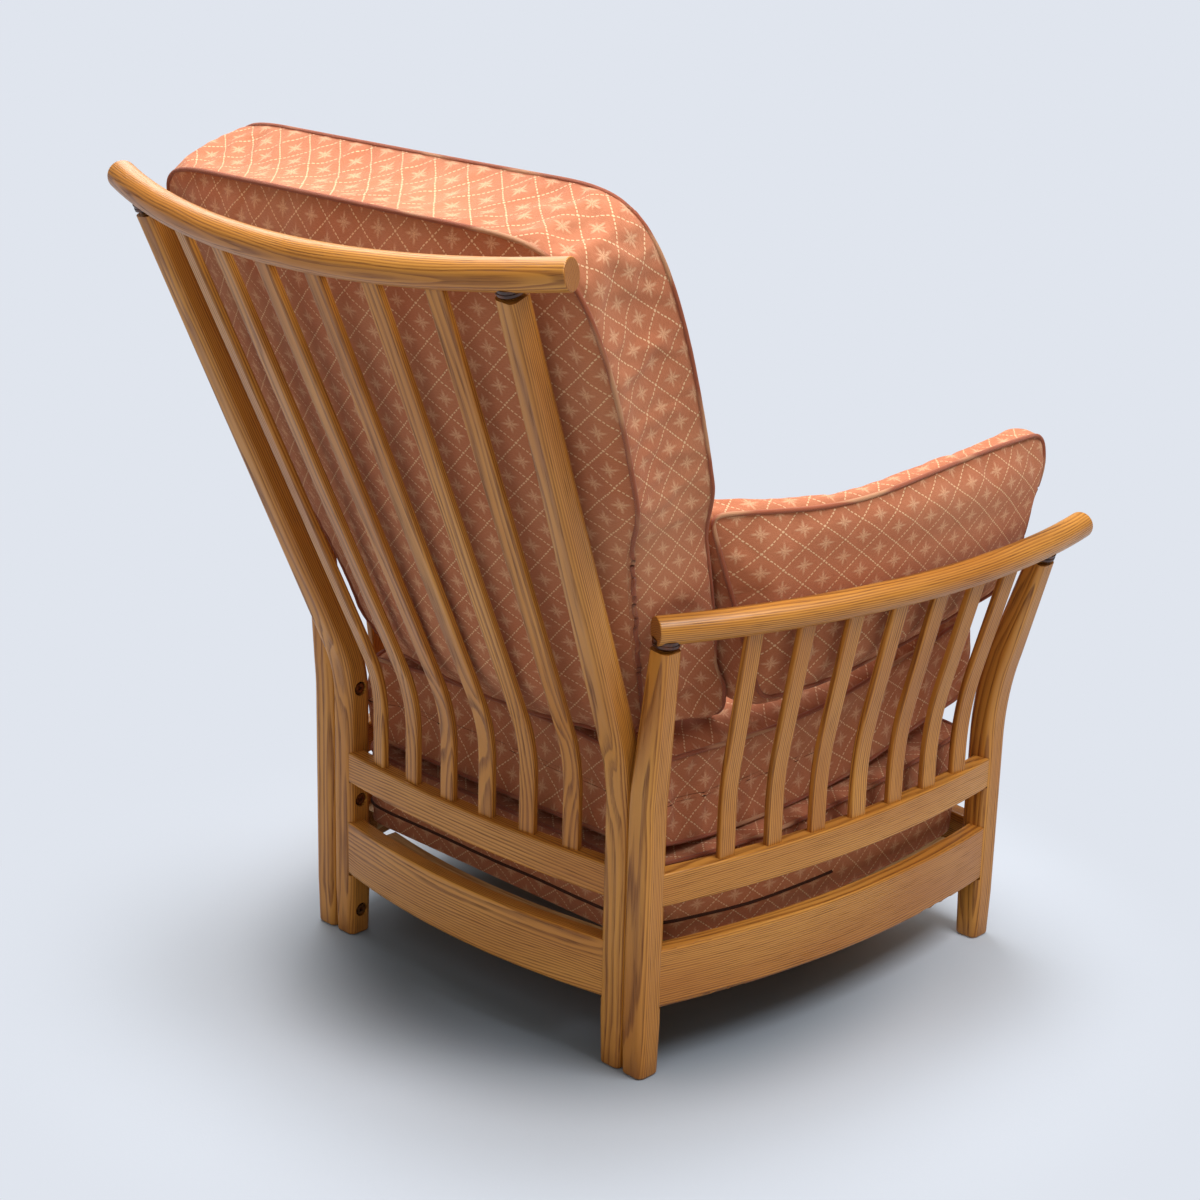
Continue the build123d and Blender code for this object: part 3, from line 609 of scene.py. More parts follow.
@dataclass
class Studio:
    """Camera, floor, backdrop and soft lights."""

    eye: Vector = field(default_factory=lambda: Vector((-1.99196, 2.05303, 1.42852)))
    target: Vector = field(default_factory=lambda: Vector((0.02964, -0.04248, 0.44128)))
    roll: float = 0.0255
    lens: float = 75.65
    sensor: float = 36.0
    sight: float = 60.0
    backdrop: Colour = srgb(224, 229, 238)
    floor_colour: Colour = srgb(196, 204, 216)
    # Colour of the painted shadow on the floor under the chair.
    painted_shadow_colour: Colour = srgb(120, 130, 142)
    bounce: Colour = (1.0, 0.93, 0.78, 1.0)
    ambient_colour: Colour = (1.0, 0.91, 0.74, 1.0)
    ambient: float = 0.26
    floor_half: float = 14.0
    # Distances from the chair's middle over which the painted shadow fades from full to none.
    painted_shadow_reach: tuple[float, float] = (0.24, 0.46)
    fade_reach: tuple[float, float] = (0.44, 0.80)
    lamps: tuple[Lamp, ...] = (
        Lamp("key_light", (-1.7, -0.2, 2.9), 1.3, 56.0), Lamp("top_light", (0.3, 0.2, 3.2), 1.7, 88.0),
        Lamp("left_light", (2.2, -1.2, 2.6), 2.0, 42.0), Lamp("fill_light", (-1.6, 3.2, 2.4), 2.4, 21.0),
    )

    def camera(self) -> None:
        """Set the camera where the photograph was taken from."""
        data = bpy.data.cameras.new("camera")
        data.lens, data.sensor_width, data.clip_end = self.lens, self.sensor, self.sight
        camera = bpy.data.objects.new("camera", data)
        forward = (self.target - self.eye).normalized()
        right = forward.cross(Z_AXIS).normalized()
        up = right.cross(forward)
        turned = right * cos(self.roll) + up * sin(self.roll)
        up = up * cos(self.roll) - right * sin(self.roll)
        axes = Matrix((turned, up, -forward)).transposed().to_4x4()
        camera.matrix_world = Matrix.Translation(self.eye) @ axes
        bpy.context.scene.collection.objects.link(camera)
        bpy.context.scene.camera = camera

    def floor(self) -> None:
        """Lay the pale floor, which darkens under the chair as a painted shadow and fades into the backdrop
        away from the chair.

        The floor is one flat face z = 0 over x and y from -floor_half to floor_half. The camera, mirrors
        and glass see its cool colours, and the light that it throws back is a little warmer.
        """
        half = self.floor_half
        mesh = bpy.data.meshes.new("floor")
        corners = [(-half, -half, 0), (half, -half, 0), (half, half, 0), (-half, half, 0)]
        mesh.from_pydata(corners, [], [(0, 1, 2, 3)])
        floor = new_object("floor", mesh)
        graph = Graph("studio_floor")
        place = graph.place()
        grit = graph.noise(place, 300.0, 2.0)
        reach = graph.reach(place)
        # Painted shadow: the floor's colour darkens towards the chair's middle, under the chair.
        tone = graph.mix(graph.step(reach, *self.painted_shadow_reach), self.painted_shadow_colour, self.floor_colour)
        camera, glossy, through_glass = (
            graph.node("LightPath", f"Is {kind} Ray") for kind in ("Camera", "Glossy", "Transmission"))
        seen = graph.math("MAXIMUM", graph.math("MAXIMUM", camera, glossy), through_glass)
        tone = graph.mix(seen, graph.mix(1.0, tone, self.bounce, "MULTIPLY"), tone)
        graph.finish(tone, graph.linear(grit, 0.1, 0.8), grit, 0.0001)
        fade = graph.times(graph.step(reach, *self.fade_reach), seen)
        glow = graph.node("Emission", "Emission", {"Color": self.backdrop})
        blend = graph.node("MixShader", "Shader", {0: fade, 1: graph.shader.outputs["BSDF"], 2: glow})
        graph.plug(graph.nodes["Material Output"].inputs["Surface"], blend)
        mesh.materials.append(graph.material)

    def world(self) -> None:
        """Set an even ambient light behind which the backdrop shows."""
        world = bpy.data.worlds.new("studio")
        world.use_nodes = True
        bpy.context.scene.world = world
        nodes, links = world.node_tree.nodes, world.node_tree.links
        nodes.clear()
        path, seen = nodes.new("ShaderNodeLightPath"), nodes.new("ShaderNodeMath")
        seen.operation = "MAXIMUM"
        links.new(path.outputs["Is Camera Ray"], seen.inputs[0])
        links.new(path.outputs["Is Transmission Ray"], seen.inputs[1])
        blend, output = nodes.new("ShaderNodeMixShader"), nodes.new("ShaderNodeOutputWorld")
        links.new(seen.outputs["Value"], blend.inputs["Fac"])
        glows = ((self.ambient_colour, self.ambient), (self.backdrop, 1.0))
        for index, (colour, strength) in enumerate(glows, 1):
            background = nodes.new("ShaderNodeBackground")
            background.inputs["Color"].default_value = colour
            background.inputs["Strength"].default_value = strength
            links.new(background.outputs["Background"], blend.inputs[index])
        links.new(blend.outputs["Shader"], output.inputs["Surface"])

    def build(self) -> None:
        """Set up the whole studio."""
        self.camera()
        self.floor()
        self.world()
        for lamp in self.lamps:
            lamp.hang()
        bpy.context.scene.view_settings.view_transform = "Standard"


def paint(obj: bpy.types.Object, material: bpy.types.Material) -> None:
    """Give every slot of an object one material.

    Args:
        obj: The object.
        material: The material.
    """
    if not obj.material_slots:
        obj.data.materials.append(material)
    for slot in obj.material_slots:
        slot.link = "OBJECT"
        slot.material = material


@dataclass
class Timber:
    """The show-wood frame: every solid keeps its shape and gets its own run of grain."""

    wood: AshWood = AshWood()
    plain: Grained = Grained(
        "pine", srgb(205, 170, 120), srgb(160, 118, 70), (260.0, 3.0, 0.6), (0.35, 0.68), (1800.0, 1.0),
        (1.0, 1.0, 0.02), (0.2, 0.6), 0.0003, (1.0, 1.0, 0.04))
    back_knee: float = 0.357
    side_knee: float = 0.332
    back_bent: tuple[str, ...] = ("back_post", "back_spindle")
    side_bent: tuple[str, ...] = ("rear_post", "front_post", "side_spindle")
    bowed: tuple[str, ...] = ("crest_bow", "arm_bow", "back_mid_rail", "back_lower_rail", "side_mid_rail",
                              "side_lower_rail", "front_rail")
    flat_sawn: tuple[str, ...] = ("crest_bow", "back_lower_rail")

    def figure_of(self, node: str, count: int) -> tuple[float, float]:
        """Return where round a piece the tree's heart lies, in radians, and how far its rings stray.

        Args:
            node: The CAD node.
            count: The piece's number.
        """
        if node.startswith(self.flat_sawn):
            return pi + 0.35, 0.024
        return pi / 2 + 0.5 * sin(2.4 * count), 0.009

    def run_of(self, node: str) -> Run:
        """Return how a node's grain runs."""
        if node.startswith(self.back_bent):
            return bent_run(node, self.back_knee)
        if node.startswith(self.side_bent):
            return bent_run(node, self.side_knee)
        return bowed_run(node)

    def build(self) -> None:
        """Paint every wooden node."""
        count = 0
        for node, obj in sorted(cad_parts.items()):
            if node.startswith(self.back_bent + self.side_bent + self.bowed):
                heart, figure = self.figure_of(node, count)
                paint(obj, self.wood.material(f"ash_{node}", self.run_of(node), heart, figure, count))
                count += 1
            elif node.startswith("seat_bearer"):
                paint(obj, self.plain.material(f"pine_{node}", self.run_of(node)))
        across = BowedRun(Vector(), X_AXIS, Y_AXIS, 0.0)
        paint(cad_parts["seat_base_frame"], self.plain.material("pine_seat_base_frame", across))
        log.info("timber: %d show-wood pieces", count)


@dataclass
class Fixings:
    """Collars, bolts, washers, inserts, screws and webbing, by node."""

    looks: dict[str, Grained | PlainCloth] = field(default_factory=lambda: {
        "joint_collars": Grained(
            "stained_collar", srgb(56, 25, 10), srgb(108, 54, 24), (120.0, 3.0, 0.5), (0.42, 0.75),
            (1600.0, 2.0), (0.2, 0.2, 1.0), (0.14, 0.30), 0.00008,
            settings=(("Coat_Weight", 0.12), ("Coat_Roughness", 0.20))),
        "frame_bolts": metal("bronzed_steel", srgb(146, 98, 58), srgb(78, 48, 30), 0.34),
        "bolt_washers": metal("black_washer", srgb(70, 56, 48), srgb(24, 20, 18), 0.42),
        "bolt_inserts": metal("brass_insert", srgb(206, 168, 92), srgb(150, 112, 52), 0.28),
        "bearer_screws": metal("zinc_screw", srgb(188, 186, 180), srgb(120, 118, 112), 0.34),
        "seat_base_webbing": PlainCloth("seat_webbing", srgb(70, 58, 50), srgb(34, 28, 26), 0.0022),
    })

    def build(self) -> None:
        """Paint every fixing."""
        for node, look in self.looks.items():
            paint(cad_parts[node], look.material())
        log.info("fixings: %s", ", ".join(self.looks))


def run_lengths(points: np.ndarray) -> np.ndarray:
    """Return how far along a line each of its points lies."""
    return np.concatenate([[0], np.cumsum(np.linalg.norm(np.diff(points, axis=0), axis=1))])


def again(rows: np.ndarray) -> np.ndarray:
    """Return rows with the first one repeated at the end."""
    return np.concatenate([rows, rows[:1]])


def through(points: np.ndarray, count: int) -> np.ndarray:
    """Spread points evenly along a smooth line through a few given ones.

    Each coordinate is a natural run of cubic Hermite pieces over the length of the given line,
    with slopes taken from the neighbours on both sides.

    Args:
        points: The given points, one a row.
        count: How many cells the line gets.

    Returns:
        count + 1 points.
    """
    lengths = run_lengths(points)
    slopes = np.gradient(points, lengths, axis=0) if len(points) > 2 else np.repeat(
        (points[1:] - points[:1]) / lengths[-1], 2, axis=0)
    at = np.linspace(0, lengths[-1], count + 1)
    piece = np.clip(np.searchsorted(lengths, at, side="right") - 1, 0, len(points) - 2)
    span = (lengths[piece + 1] - lengths[piece])[:, None]
    t = (at[:, None] - lengths[piece][:, None]) / span
    start, end = points[piece], points[piece + 1]
    lead, tail = slopes[piece] * span, slopes[piece + 1] * span
    return ((2 * t ** 3 - 3 * t ** 2 + 1) * start + (t ** 3 - 2 * t ** 2 + t) * lead
            + (3 * t ** 2 - 2 * t ** 3) * end + (t ** 3 - t ** 2) * tail)


def eased(loop: np.ndarray, reach: int) -> np.ndarray:
    """Round the corners of a closed line: each point becomes the mean of its neighbours, twice over.

    Args:
        loop: The line's points, the first not repeated.
        reach: How many neighbours count on each side.

    Returns:
        The rounded line.
    """
    for _ in range(2):
        loop = sum(np.roll(loop, shift, axis=0) for shift in range(-reach, reach + 1)) / (2 * reach + 1)
    return loop


def gradual(share: np.ndarray) -> np.ndarray:
    """Return 0 below 0, 1 above 1 and 3t^2 - 2t^3 between."""
    share = np.clip(share, 0, 1)
    return share * share * (3 - 2 * share)


def unit(rows: np.ndarray) -> np.ndarray:
    """Return each row at length one."""
    return rows / np.maximum(np.linalg.norm(rows, axis=-1, keepdims=True), 1e-9)


def new_object(name: str, mesh: bpy.types.Mesh) -> bpy.types.Object:
    """Put a mesh into the scene under a name."""
    obj = bpy.data.objects.new(name, mesh)
    bpy.context.scene.collection.objects.link(obj)
    return obj


def mesh_of(name: str, points: np.ndarray, faces: np.ndarray,
            corners: np.ndarray | None = None) -> bpy.types.Mesh:
    """Make a smooth mesh from arrays.

    Args:
        name: The mesh's name.
        points: Its points, one a row.
        faces: Its four-sided faces, one a row of point numbers.
        corners: The cloth coordinates of each face's four corners.

    Returns:
        The mesh.
    """
    mesh = bpy.data.meshes.new(name)
    mesh.vertices.add(len(points))
    mesh.vertices.foreach_set("co", points.astype(np.float32).ravel())
    mesh.loops.add(faces.size)
    mesh.loops.foreach_set("vertex_index", faces.astype(np.int32).ravel())
    mesh.polygons.add(len(faces))
    mesh.polygons.foreach_set("loop_start", np.arange(0, faces.size, 4, dtype=np.int32))
    mesh.polygons.foreach_set("use_smooth", np.full(len(faces), True))
    mesh.update(calc_edges=True)
    if corners is not None:
        layer = mesh.uv_layers.new(name=CLOTH_LAYER)
        layer.data.foreach_set("uv", corners.astype(np.float32).ravel())
    mesh.validate()
    return mesh


def cell_corners(grid: np.ndarray) -> list[np.ndarray]:
    """Return what a grid holds at the four corners of each cell, in turn round the cell."""
    return [grid[:-1, :-1], grid[1:, :-1], grid[1:, 1:], grid[:-1, 1:]]


def patch_faces(numbers: np.ndarray) -> np.ndarray:
    """Return the four-sided faces of a grid of point numbers."""
    return np.stack(cell_corners(numbers), axis=-1).reshape(-1, 4)


def patch_corners(flat: np.ndarray) -> np.ndarray:
    """Return the cloth coordinates of each grid face's corners, in the order of patch_faces."""
    return np.stack(cell_corners(flat), axis=2).reshape(-1, 4, 2)


def ring_numbers(rings: int, sides: int) -> np.ndarray:
    """Number the points of rings one after another, with each ring's first number again at its end."""
    numbers = np.arange(rings * sides).reshape(rings, sides)
    return np.concatenate([numbers, numbers[:, :1]], axis=1)


def laid_flat(across: np.ndarray, along: np.ndarray) -> np.ndarray:
    """Return the cloth coordinates of a grid from those of its columns and of its rows."""
    return np.stack(np.broadcast_arrays(across[None, :], along[:, None]), axis=-1)


def tube(path: np.ndarray, outward: np.ndarray, radius: float, sides: int = 10) -> tuple:
    """Carry a circle along a closed path.

    A point is path + radius * (cos a * outward + sin a * (tangent x outward)) for angles a round the circle.

    Args:
        path: The path's points.
        outward: A direction for each point that is never along the path.
        radius: The circle's radius.
        sides: The points of the circle.

    Returns:
        Points, faces and the cloth coordinates of the faces' corners.
    """
    tangent = unit(np.roll(path, -1, axis=0) - np.roll(path, 1, axis=0))
    first = unit(outward - tangent * np.sum(outward * tangent, axis=1, keepdims=True))
    second = np.cross(tangent, first)
    angles = np.linspace(0, 2 * pi, sides, endpoint=False)[None, :, None]
    rings = path[:, None] + radius * (first[:, None] * np.cos(angles) + second[:, None] * np.sin(angles))
    flat = laid_flat(np.linspace(0, 2 * pi * radius, sides + 1), run_lengths(again(path)))
    return rings.reshape(-1, 3), patch_faces(again(ring_numbers(len(path), sides))), patch_corners(flat)


class Side(Enum):
    """The side of the chair that an arm cushion belongs to."""

    LEFT = 1
    RIGHT = -1


@dataclass(frozen=True)
class Looks:
    """The materials of a cushion's cloth and trim."""

    cloth: bpy.types.Material
    piping: bpy.types.Material
    tape: bpy.types.Material
    pull: bpy.types.Material


# Settings of a cover that its filling blows up while its seams are held.
FILLED_CLOTH = {
    "quality": 6, "mass": 0.3, "tension_stiffness": 14.0, "compression_stiffness": 14.0,
    "shear_stiffness": 6.0, "bending_stiffness": 0.4, "tension_damping": 12.0, "compression_damping": 12.0,
    "air_damping": 3.0, "vertex_group_mass": "seam", "use_pressure": True, "uniform_pressure_force": 4.0,
}


@dataclass
class BoxedCushion:
    """A cushion of two panels joined by a border, with a piped seam round each panel.

    The first and second loops are closed lines with the same number of points. A panel is the
    Coons patch of its loop, (1-b)C0(a) + b C1(a) + (1-a)D0(b) + a D1(b) less the bilinear corners,
    lifted by crown * (1-|2a-1|^p)(1-|2b-1|^p). The border runs straight between the loops
    and bulges by 4v(1-v) times its bulge.
    """

    name: str
    cells: tuple[int, int, int]
    corner_reach: int
    first_crown: Vector
    second_crown: Vector
    bulge: float
    crown_power: float = 2.6
    held_height: float = 9.0
    loose: bool = True
    swell_cap: float = 0.024
    pucker_depth: float = 0.0030
    pucker_length: float = 0.034
    pucker_reach: float = 0.014
    crease_reach: float = 0.003
    shade_reach: float = 0.006
    wave_depth: float = 0.0008
    piping_radius: float = 0.0027
    piping_lift: float = 0.3
    room_gap: float = 0.0014
    head_fade: float = 0.080
    seam_reach: float = 0.050
    seam_fade: float = 0.030
    slack: float = 0.015

    @property
    def body(self) -> str:
        """Return the body that the cushion rides on: its own, or the frame where it is fixed."""
        return self.name if self.loose else "frame"

    @property
    def nodes(self) -> tuple[str, str]:
        """Return the CAD nodes that the cushion stands for: its cover and what is inside."""
        return f"{self.name}_cover", f"{self.name}_{'filling' if self.loose else 'foam'}"

    def loops(self) -> tuple[np.ndarray, np.ndarray]:
        """Return the two seam loops; each kind of cushion gives its own."""
        raise NotImplementedError

    def closed(self, sides: list) -> np.ndarray:
        """Join four lines end to end into a closed loop with rounded corners.

        Args:
            sides: Four arrays of points: wide, long, wide and long.

        Returns:
            The loop's points.
        """
        counts = self.cells[:2] * 2
        lines = [through(np.array(side, float), count)[:-1] for side, count in zip(sides, counts)]
        return eased(np.concatenate(lines), self.corner_reach)

    def four_sides(self, ring: np.ndarray) -> tuple:
        """Split a line whose end repeats its start into a panel's lower, right, upper and left sides."""
        wide, deep, _ = self.cells
        starts = np.cumsum([0, wide, deep, wide])
        lower, right, upper, left = (
            ring[start:start + count + 1] for start, count in zip(starts, (wide, deep, wide, deep)))
        return lower, right, upper[::-1], left[::-1]

    def panel(self, loop: np.ndarray, crown: Vector) -> tuple[np.ndarray, np.ndarray]:
        """Fill a loop with a crowned patch.

        Args:
            loop: The seam's points.
            crown: How far and which way the middle stands out.

        Returns:
            The grid's points, and its flat shape before crowning.
        """
        wide, deep, _ = self.cells
        bottom, right, top, left = self.four_sides(again(loop))
        a, b = np.linspace(0, 1, wide + 1)[:, None, None], np.linspace(0, 1, deep + 1)[None, :, None]
        ruled = (1 - b) * bottom[:, None] + b * top[:, None] + (1 - a) * left[None] + a * right[None]
        corners = ((1 - a) * (1 - b) * bottom[0] + a * (1 - b) * bottom[-1]
                   + (1 - a) * b * top[0] + a * b * top[-1])
        flat = ruled - corners
        rise = (1 - np.abs(2 * a - 1) ** self.crown_power) * (1 - np.abs(2 * b - 1) ** self.crown_power)
        return flat + rise * np.array(crown), flat

    def build_mesh(self) -> None:
        """Lay out points, faces, cloth coordinates and seam distances for the whole cushion."""
        first, second = self.loops()
        wide, deep, rows = self.cells
        around = len(first)
        middle = (first.mean(axis=0) + second.mean(axis=0)) / 2
        following = np.roll(first, -1, axis=0) - np.roll(first, 1, axis=0)
        outward = unit(np.cross(unit(following), unit(second - first)))
        outward *= np.sign(np.sum(outward * (first - middle), axis=1).mean())
        v = np.linspace(0, 1, rows + 1)[:, None, None]
        border = (1 - v) * first[None] + v * second[None] + 4 * v * (1 - v) * self.bulge * outward[None]
        numbers = ring_numbers(rows + 1, around)
        height = np.linspace(0, np.linalg.norm(second - first, axis=1).mean(), rows + 1)
        flat = laid_flat(run_lengths(again(first)), height)
        points, faces, corners = [border.reshape(-1, 3)], [patch_faces(numbers)], [patch_corners(flat)]
        seam_gap = [np.repeat(np.minimum(v[:, 0, 0], 1 - v[:, 0, 0]) * height[-1], around)]
        offset = border.size // 3
        from_rim = np.minimum.outer(*(
            np.minimum(np.arange(1, count), count - np.arange(1, count)) for count in (wide, deep)))
        panels = ((first, self.first_crown, 0, -1), (second, self.second_crown, rows, 1))
        for loop, crown, row, way in panels:
            grid, level = self.panel(loop, crown)
            faces.append(patch_faces(self.panel_numbers(numbers[row], offset))[:, ::way])
            corners.append(patch_corners(self.cloth_of(level))[:, ::way])
            points.append(grid[1:-1, 1:-1].reshape(-1, 3))
            offset += len(points[-1])
            cell = float(np.linalg.norm(np.diff(loop, axis=0), axis=1).mean())
            seam_gap.append((from_rim * cell).ravel())
        self.around, self.rows = around, rows
        self.points, self.seam_gap = np.concatenate(points), np.concatenate(seam_gap)
        self.faces, self.corners = np.concatenate(faces), np.concatenate(corners)
        if not self.faces_out():
            self.faces, self.corners = self.faces[:, ::-1], self.corners[:, ::-1]

    def panel_numbers(self, ring: np.ndarray, offset: int) -> np.ndarray:
        """Number a panel's grid so that its rim shares the seam's points.

        Args:
            ring: The seam's point numbers, the first one again at the end.
            offset: The first free number.

        Returns:
            The grid of numbers.
        """
        wide, deep, _ = self.cells
        ids = np.empty((wide + 1, deep + 1), int)
        ids[:, 0], ids[-1, :], ids[:, -1], ids[0, :] = self.four_sides(ring)
        ids[1:-1, 1:-1] = offset + np.arange((wide - 1) * (deep - 1)).reshape(wide - 1, deep - 1)
        return ids

    def cloth_of(self, level: np.ndarray) -> np.ndarray:
        """Return the cloth coordinates of a flat panel: lengths along its middle lines."""
        half_wide, half_deep = (count // 2 for count in self.cells[:2])
        along = unit(level[-1, half_deep] - level[0, half_deep])
        up = level[half_wide, -1] - level[half_wide, 0]
        up = unit(up - along * np.dot(up, along))
        centre = level[half_wide, half_deep]
        return np.stack([(level - centre) @ along, (level - centre) @ up], axis=-1)

    def faces_out(self) -> bool:
        """Return whether the faces point outwards, which makes the enclosed volume positive."""
        a, b, c = (self.points[self.faces[:, index]] for index in (0, 1, 2))
        return bool(np.sum(np.cross(a, b) * c) > 0)

    def make(self) -> None:
        """Put the cushion's mesh into the scene, in the frame's own coordinates."""
        self.build_mesh()
        self.points[:, 1] += POST_LINE
        self.obj = new_object(self.name, mesh_of(self.name, self.points, self.faces, self.corners))
        pins = self.obj.vertex_groups.new(name="seam")
        pins.add([int(index) for index in np.flatnonzero(self.seam_gap < 1e-6)], 1.0, "REPLACE")

    def add_cloth(self) -> None:
        """Set the cushion up to be blown up by its filling, with its seams held."""
        cloth = self.obj.modifiers.new("filling", "CLOTH")
        for name, value in FILLED_CLOTH.items():
            setattr(cloth.settings, name, value)
        cloth.settings.shrink_min = -self.slack
        cloth.settings.effector_weights.gravity = 0.0
        cloth.collision_settings.use_collision = False
        cloth.collision_settings.use_self_collision = False
        cloth.point_cache.frame_start, cloth.point_cache.frame_end = 1, 24

    def shaped_points(self) -> np.ndarray:
        """Return the points of the object with its modifiers in force."""
        graph = bpy.context.evaluated_depsgraph_get()
        return points_of(self.obj.evaluated_get(graph).data)

    def store(self) -> None:
        """Write the points back into the mesh."""
        self.obj.data.vertices.foreach_set("co", self.points.astype(np.float32).ravel())
        self.obj.data.update()

    def take_cloth(self) -> None:
        """Keep the blown-up shape, with no point moved further than the cap."""
        moved = self.shaped_points() - self.points
        far = np.linalg.norm(moved, axis=1, keepdims=True)
        self.points = self.points + moved * np.minimum(1, self.swell_cap / np.maximum(far, 1e-9))
        self.obj.modifiers.clear()
        self.store()

    def hold_back(self) -> None:
        """Press the cushion into the room that its solid holds.

        The pressed points count for one less the freedom of each point.
        """
        wrap = self.obj.modifiers.new("room", "SHRINKWRAP")
        wrap.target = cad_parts[self.nodes[1]]
        wrap.wrap_method = "NEAREST_SURFACEPOINT"
        wrap.wrap_mode = "INSIDE"
        wrap.offset = -self.room_gap
        pressed = self.shaped_points()
        self.obj.modifiers.clear()
        free = self.freedom()[:, None]
        self.points = pressed * (1 - free) + self.points * free
        self.store()

    def head(self) -> np.ndarray:
        """Return how far each point is above the held height, from 0 to 1 over the head's fade."""
        return gradual((self.points[:, 2] - self.held_height) / self.head_fade + 0.5)

    def beside_seam(self) -> np.ndarray:
        """Return 1 on the border and by the seams, and 0 on the panels beyond the seam's reach."""
        border = np.arange(len(self.points)) < (self.rows + 1) * self.around
        return np.where(border, 1.0, gradual((self.seam_reach - self.seam_gap) / self.seam_fade))

    def freedom(self) -> np.ndarray:
        """Return how freely each point may leave the solid, from 0 to 1."""
        return self.head() * self.beside_seam()

    def normals(self) -> np.ndarray:
        """Return the mesh's point normals."""
        return rows_of(self.obj.data.vertex_normals, "vector", len(self.points))

    def on_border(self, rows: np.ndarray) -> np.ndarray:
        """Return the border's share of one row for each point, as a grid."""
        return rows[:(self.rows + 1) * self.around].reshape(self.rows + 1, self.around, 3)

    def pucker(self) -> None:
        """Draw the cloth in beside the seams, in short uneven folds.

        The depth is pucker_depth * exp(-d / pucker_reach) * (1 - exp(-d / crease_reach)) * (1 + sin p) / 2,
        where d is the distance from the seam and p runs once for each pucker length with a slow drift.
        """
        x, y, z = self.points.T
        phase = 2 * pi * (x + 1.3 * y + 0.9 * z) / self.pucker_length
        phase += 2.1 * np.sin(23 * x + 3) + 1.7 * np.sin(31 * y) + 1.9 * np.sin(27 * z + 1)
        near = np.exp(-self.seam_gap / self.pucker_reach) * (1 - np.exp(-self.seam_gap / self.crease_reach))
        folds = near * (1 + np.sin(phase)) / 2 * self.pucker_depth
        waves = np.sin(41 * x + 2 * np.sin(17 * y)) + np.sin(37 * z + 2 * np.sin(19 * x + 1)) - 2
        waves *= self.wave_depth * (1 - np.exp(-self.seam_gap / self.seam_fade))
        self.points = self.points + self.normals() * (waves - folds)[:, None]
        self.store()

    def attach(self, mesh: bpy.types.Mesh, material: bpy.types.Material) -> None:
        """Put a piece of trim on the cushion's body.

        Args:
            mesh: Its mesh, which gives it its name.
            material: Its material.
        """
        piece = new_object(mesh.name, mesh)
        piece.data.materials.append(material)
        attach(piece, self.body)

    def pipe(self, row: int, name: str) -> None:
        """Lay a piping cord on a seam.

        Args:
            row: The border row of the seam.
            name: The cord's name.
        """
        normals = self.on_border(self.normals())[row]
        path = self.on_border(self.points)[row] + normals * self.piping_radius * self.piping_lift
        self.attach(mesh_of(name, *tube(self.doubled(path), self.doubled(normals), self.piping_radius)),
                    self.looks.piping)

    def doubled(self, loop: np.ndarray) -> np.ndarray:
        """Return a closed line with a smooth new point in each gap, (9(p1+p2) - (p0+p3)) / 16."""
        behind, ahead, further = (np.roll(loop, shift, axis=0) for shift in (1, -1, -2))
        between = (9 * (loop + ahead) - behind - further) / 16
        return np.stack([loop, between], axis=1).reshape(-1, 3)

    def zip_line(self, start: float, end: float, share: float, name: str) -> None:
        """Sew a zip into the border: a flat tape with raised teeth, and its pull at the end.

        The tape follows the border's surface, its edges 0.4 mm under it and its teeth 1.8 mm proud.

        Args:
            start, end: The shares of the way round between which it runs.
            share: How far across the border it lies.
            name: The zip's name.
        """
        count = int((end - start) * self.around)
        columns = (int(start * self.around) + np.arange(count + 1)) % self.around
        row = share * self.rows
        low = int(row)
        grid = self.on_border(self.points)
        path = grid[low, columns] * (1 - row + low) + grid[low + 1, columns] * (row - low)
        out = unit(self.on_border(self.normals())[low, columns])
        across = unit(grid[-1, columns] - grid[0, columns])
        half_widths = np.array([-0.0026, -0.0011, -0.0008, 0.0008, 0.0011, 0.0026])
        lifts = np.array([-0.0004, 0.0010, 0.0018, 0.0018, 0.0010, -0.0004])
        tape = (path[:, None] + across[:, None] * half_widths[None, :, None]
                + out[:, None] * lifts[None, :, None])
        numbers = np.arange(tape.size // 3).reshape(-1, len(lifts))
        flat = laid_flat(half_widths, run_lengths(path))
        mesh = mesh_of(name, tape.reshape(-1, 3), patch_faces(numbers), patch_corners(flat))
        self.attach(mesh, self.looks.tape)
        self.zip_pull(path[-1], out[-1], unit(path[-1] - path[-4]), f"{name}_pull")

    def zip_pull(self, place: np.ndarray, out: np.ndarray, along: np.ndarray, name: str) -> None:
        """Hang a small flat pull at the end of a zip: a rounded tongue of changing width.

        The half width over its length s is (1.6 mm + 1.2 mm * sin(pi s)) * sqrt(1 - (2s-1)^8), and its
        thickness 1.6 mm.

        Args:
            place: Where it hangs.
            out: The direction away from the cloth.
            along: The zip's direction.
            name: The pull's name.
        """
        rings, sides, length, lift, half_thickness = 9, 12, 0.016, 0.0026, 0.0008
        s = np.linspace(0, 1, rings)[:, None, None]
        angle = np.linspace(0, 2 * pi, sides, endpoint=False)[None, :, None]
        half = (0.0016 + 0.0012 * np.sin(pi * s)) * np.sqrt(np.clip(1 - (2 * s - 1) ** 8, 0.02, 1))
        grid = (place + out * lift + along * (s - 0.3) * length + np.cross(out, along) * half * np.cos(angle)
                + out * half_thickness * np.sin(angle))
        mesh = mesh_of(name, grid.reshape(-1, 3), patch_faces(ring_numbers(rings, sides)))
        self.attach(mesh, self.looks.pull)

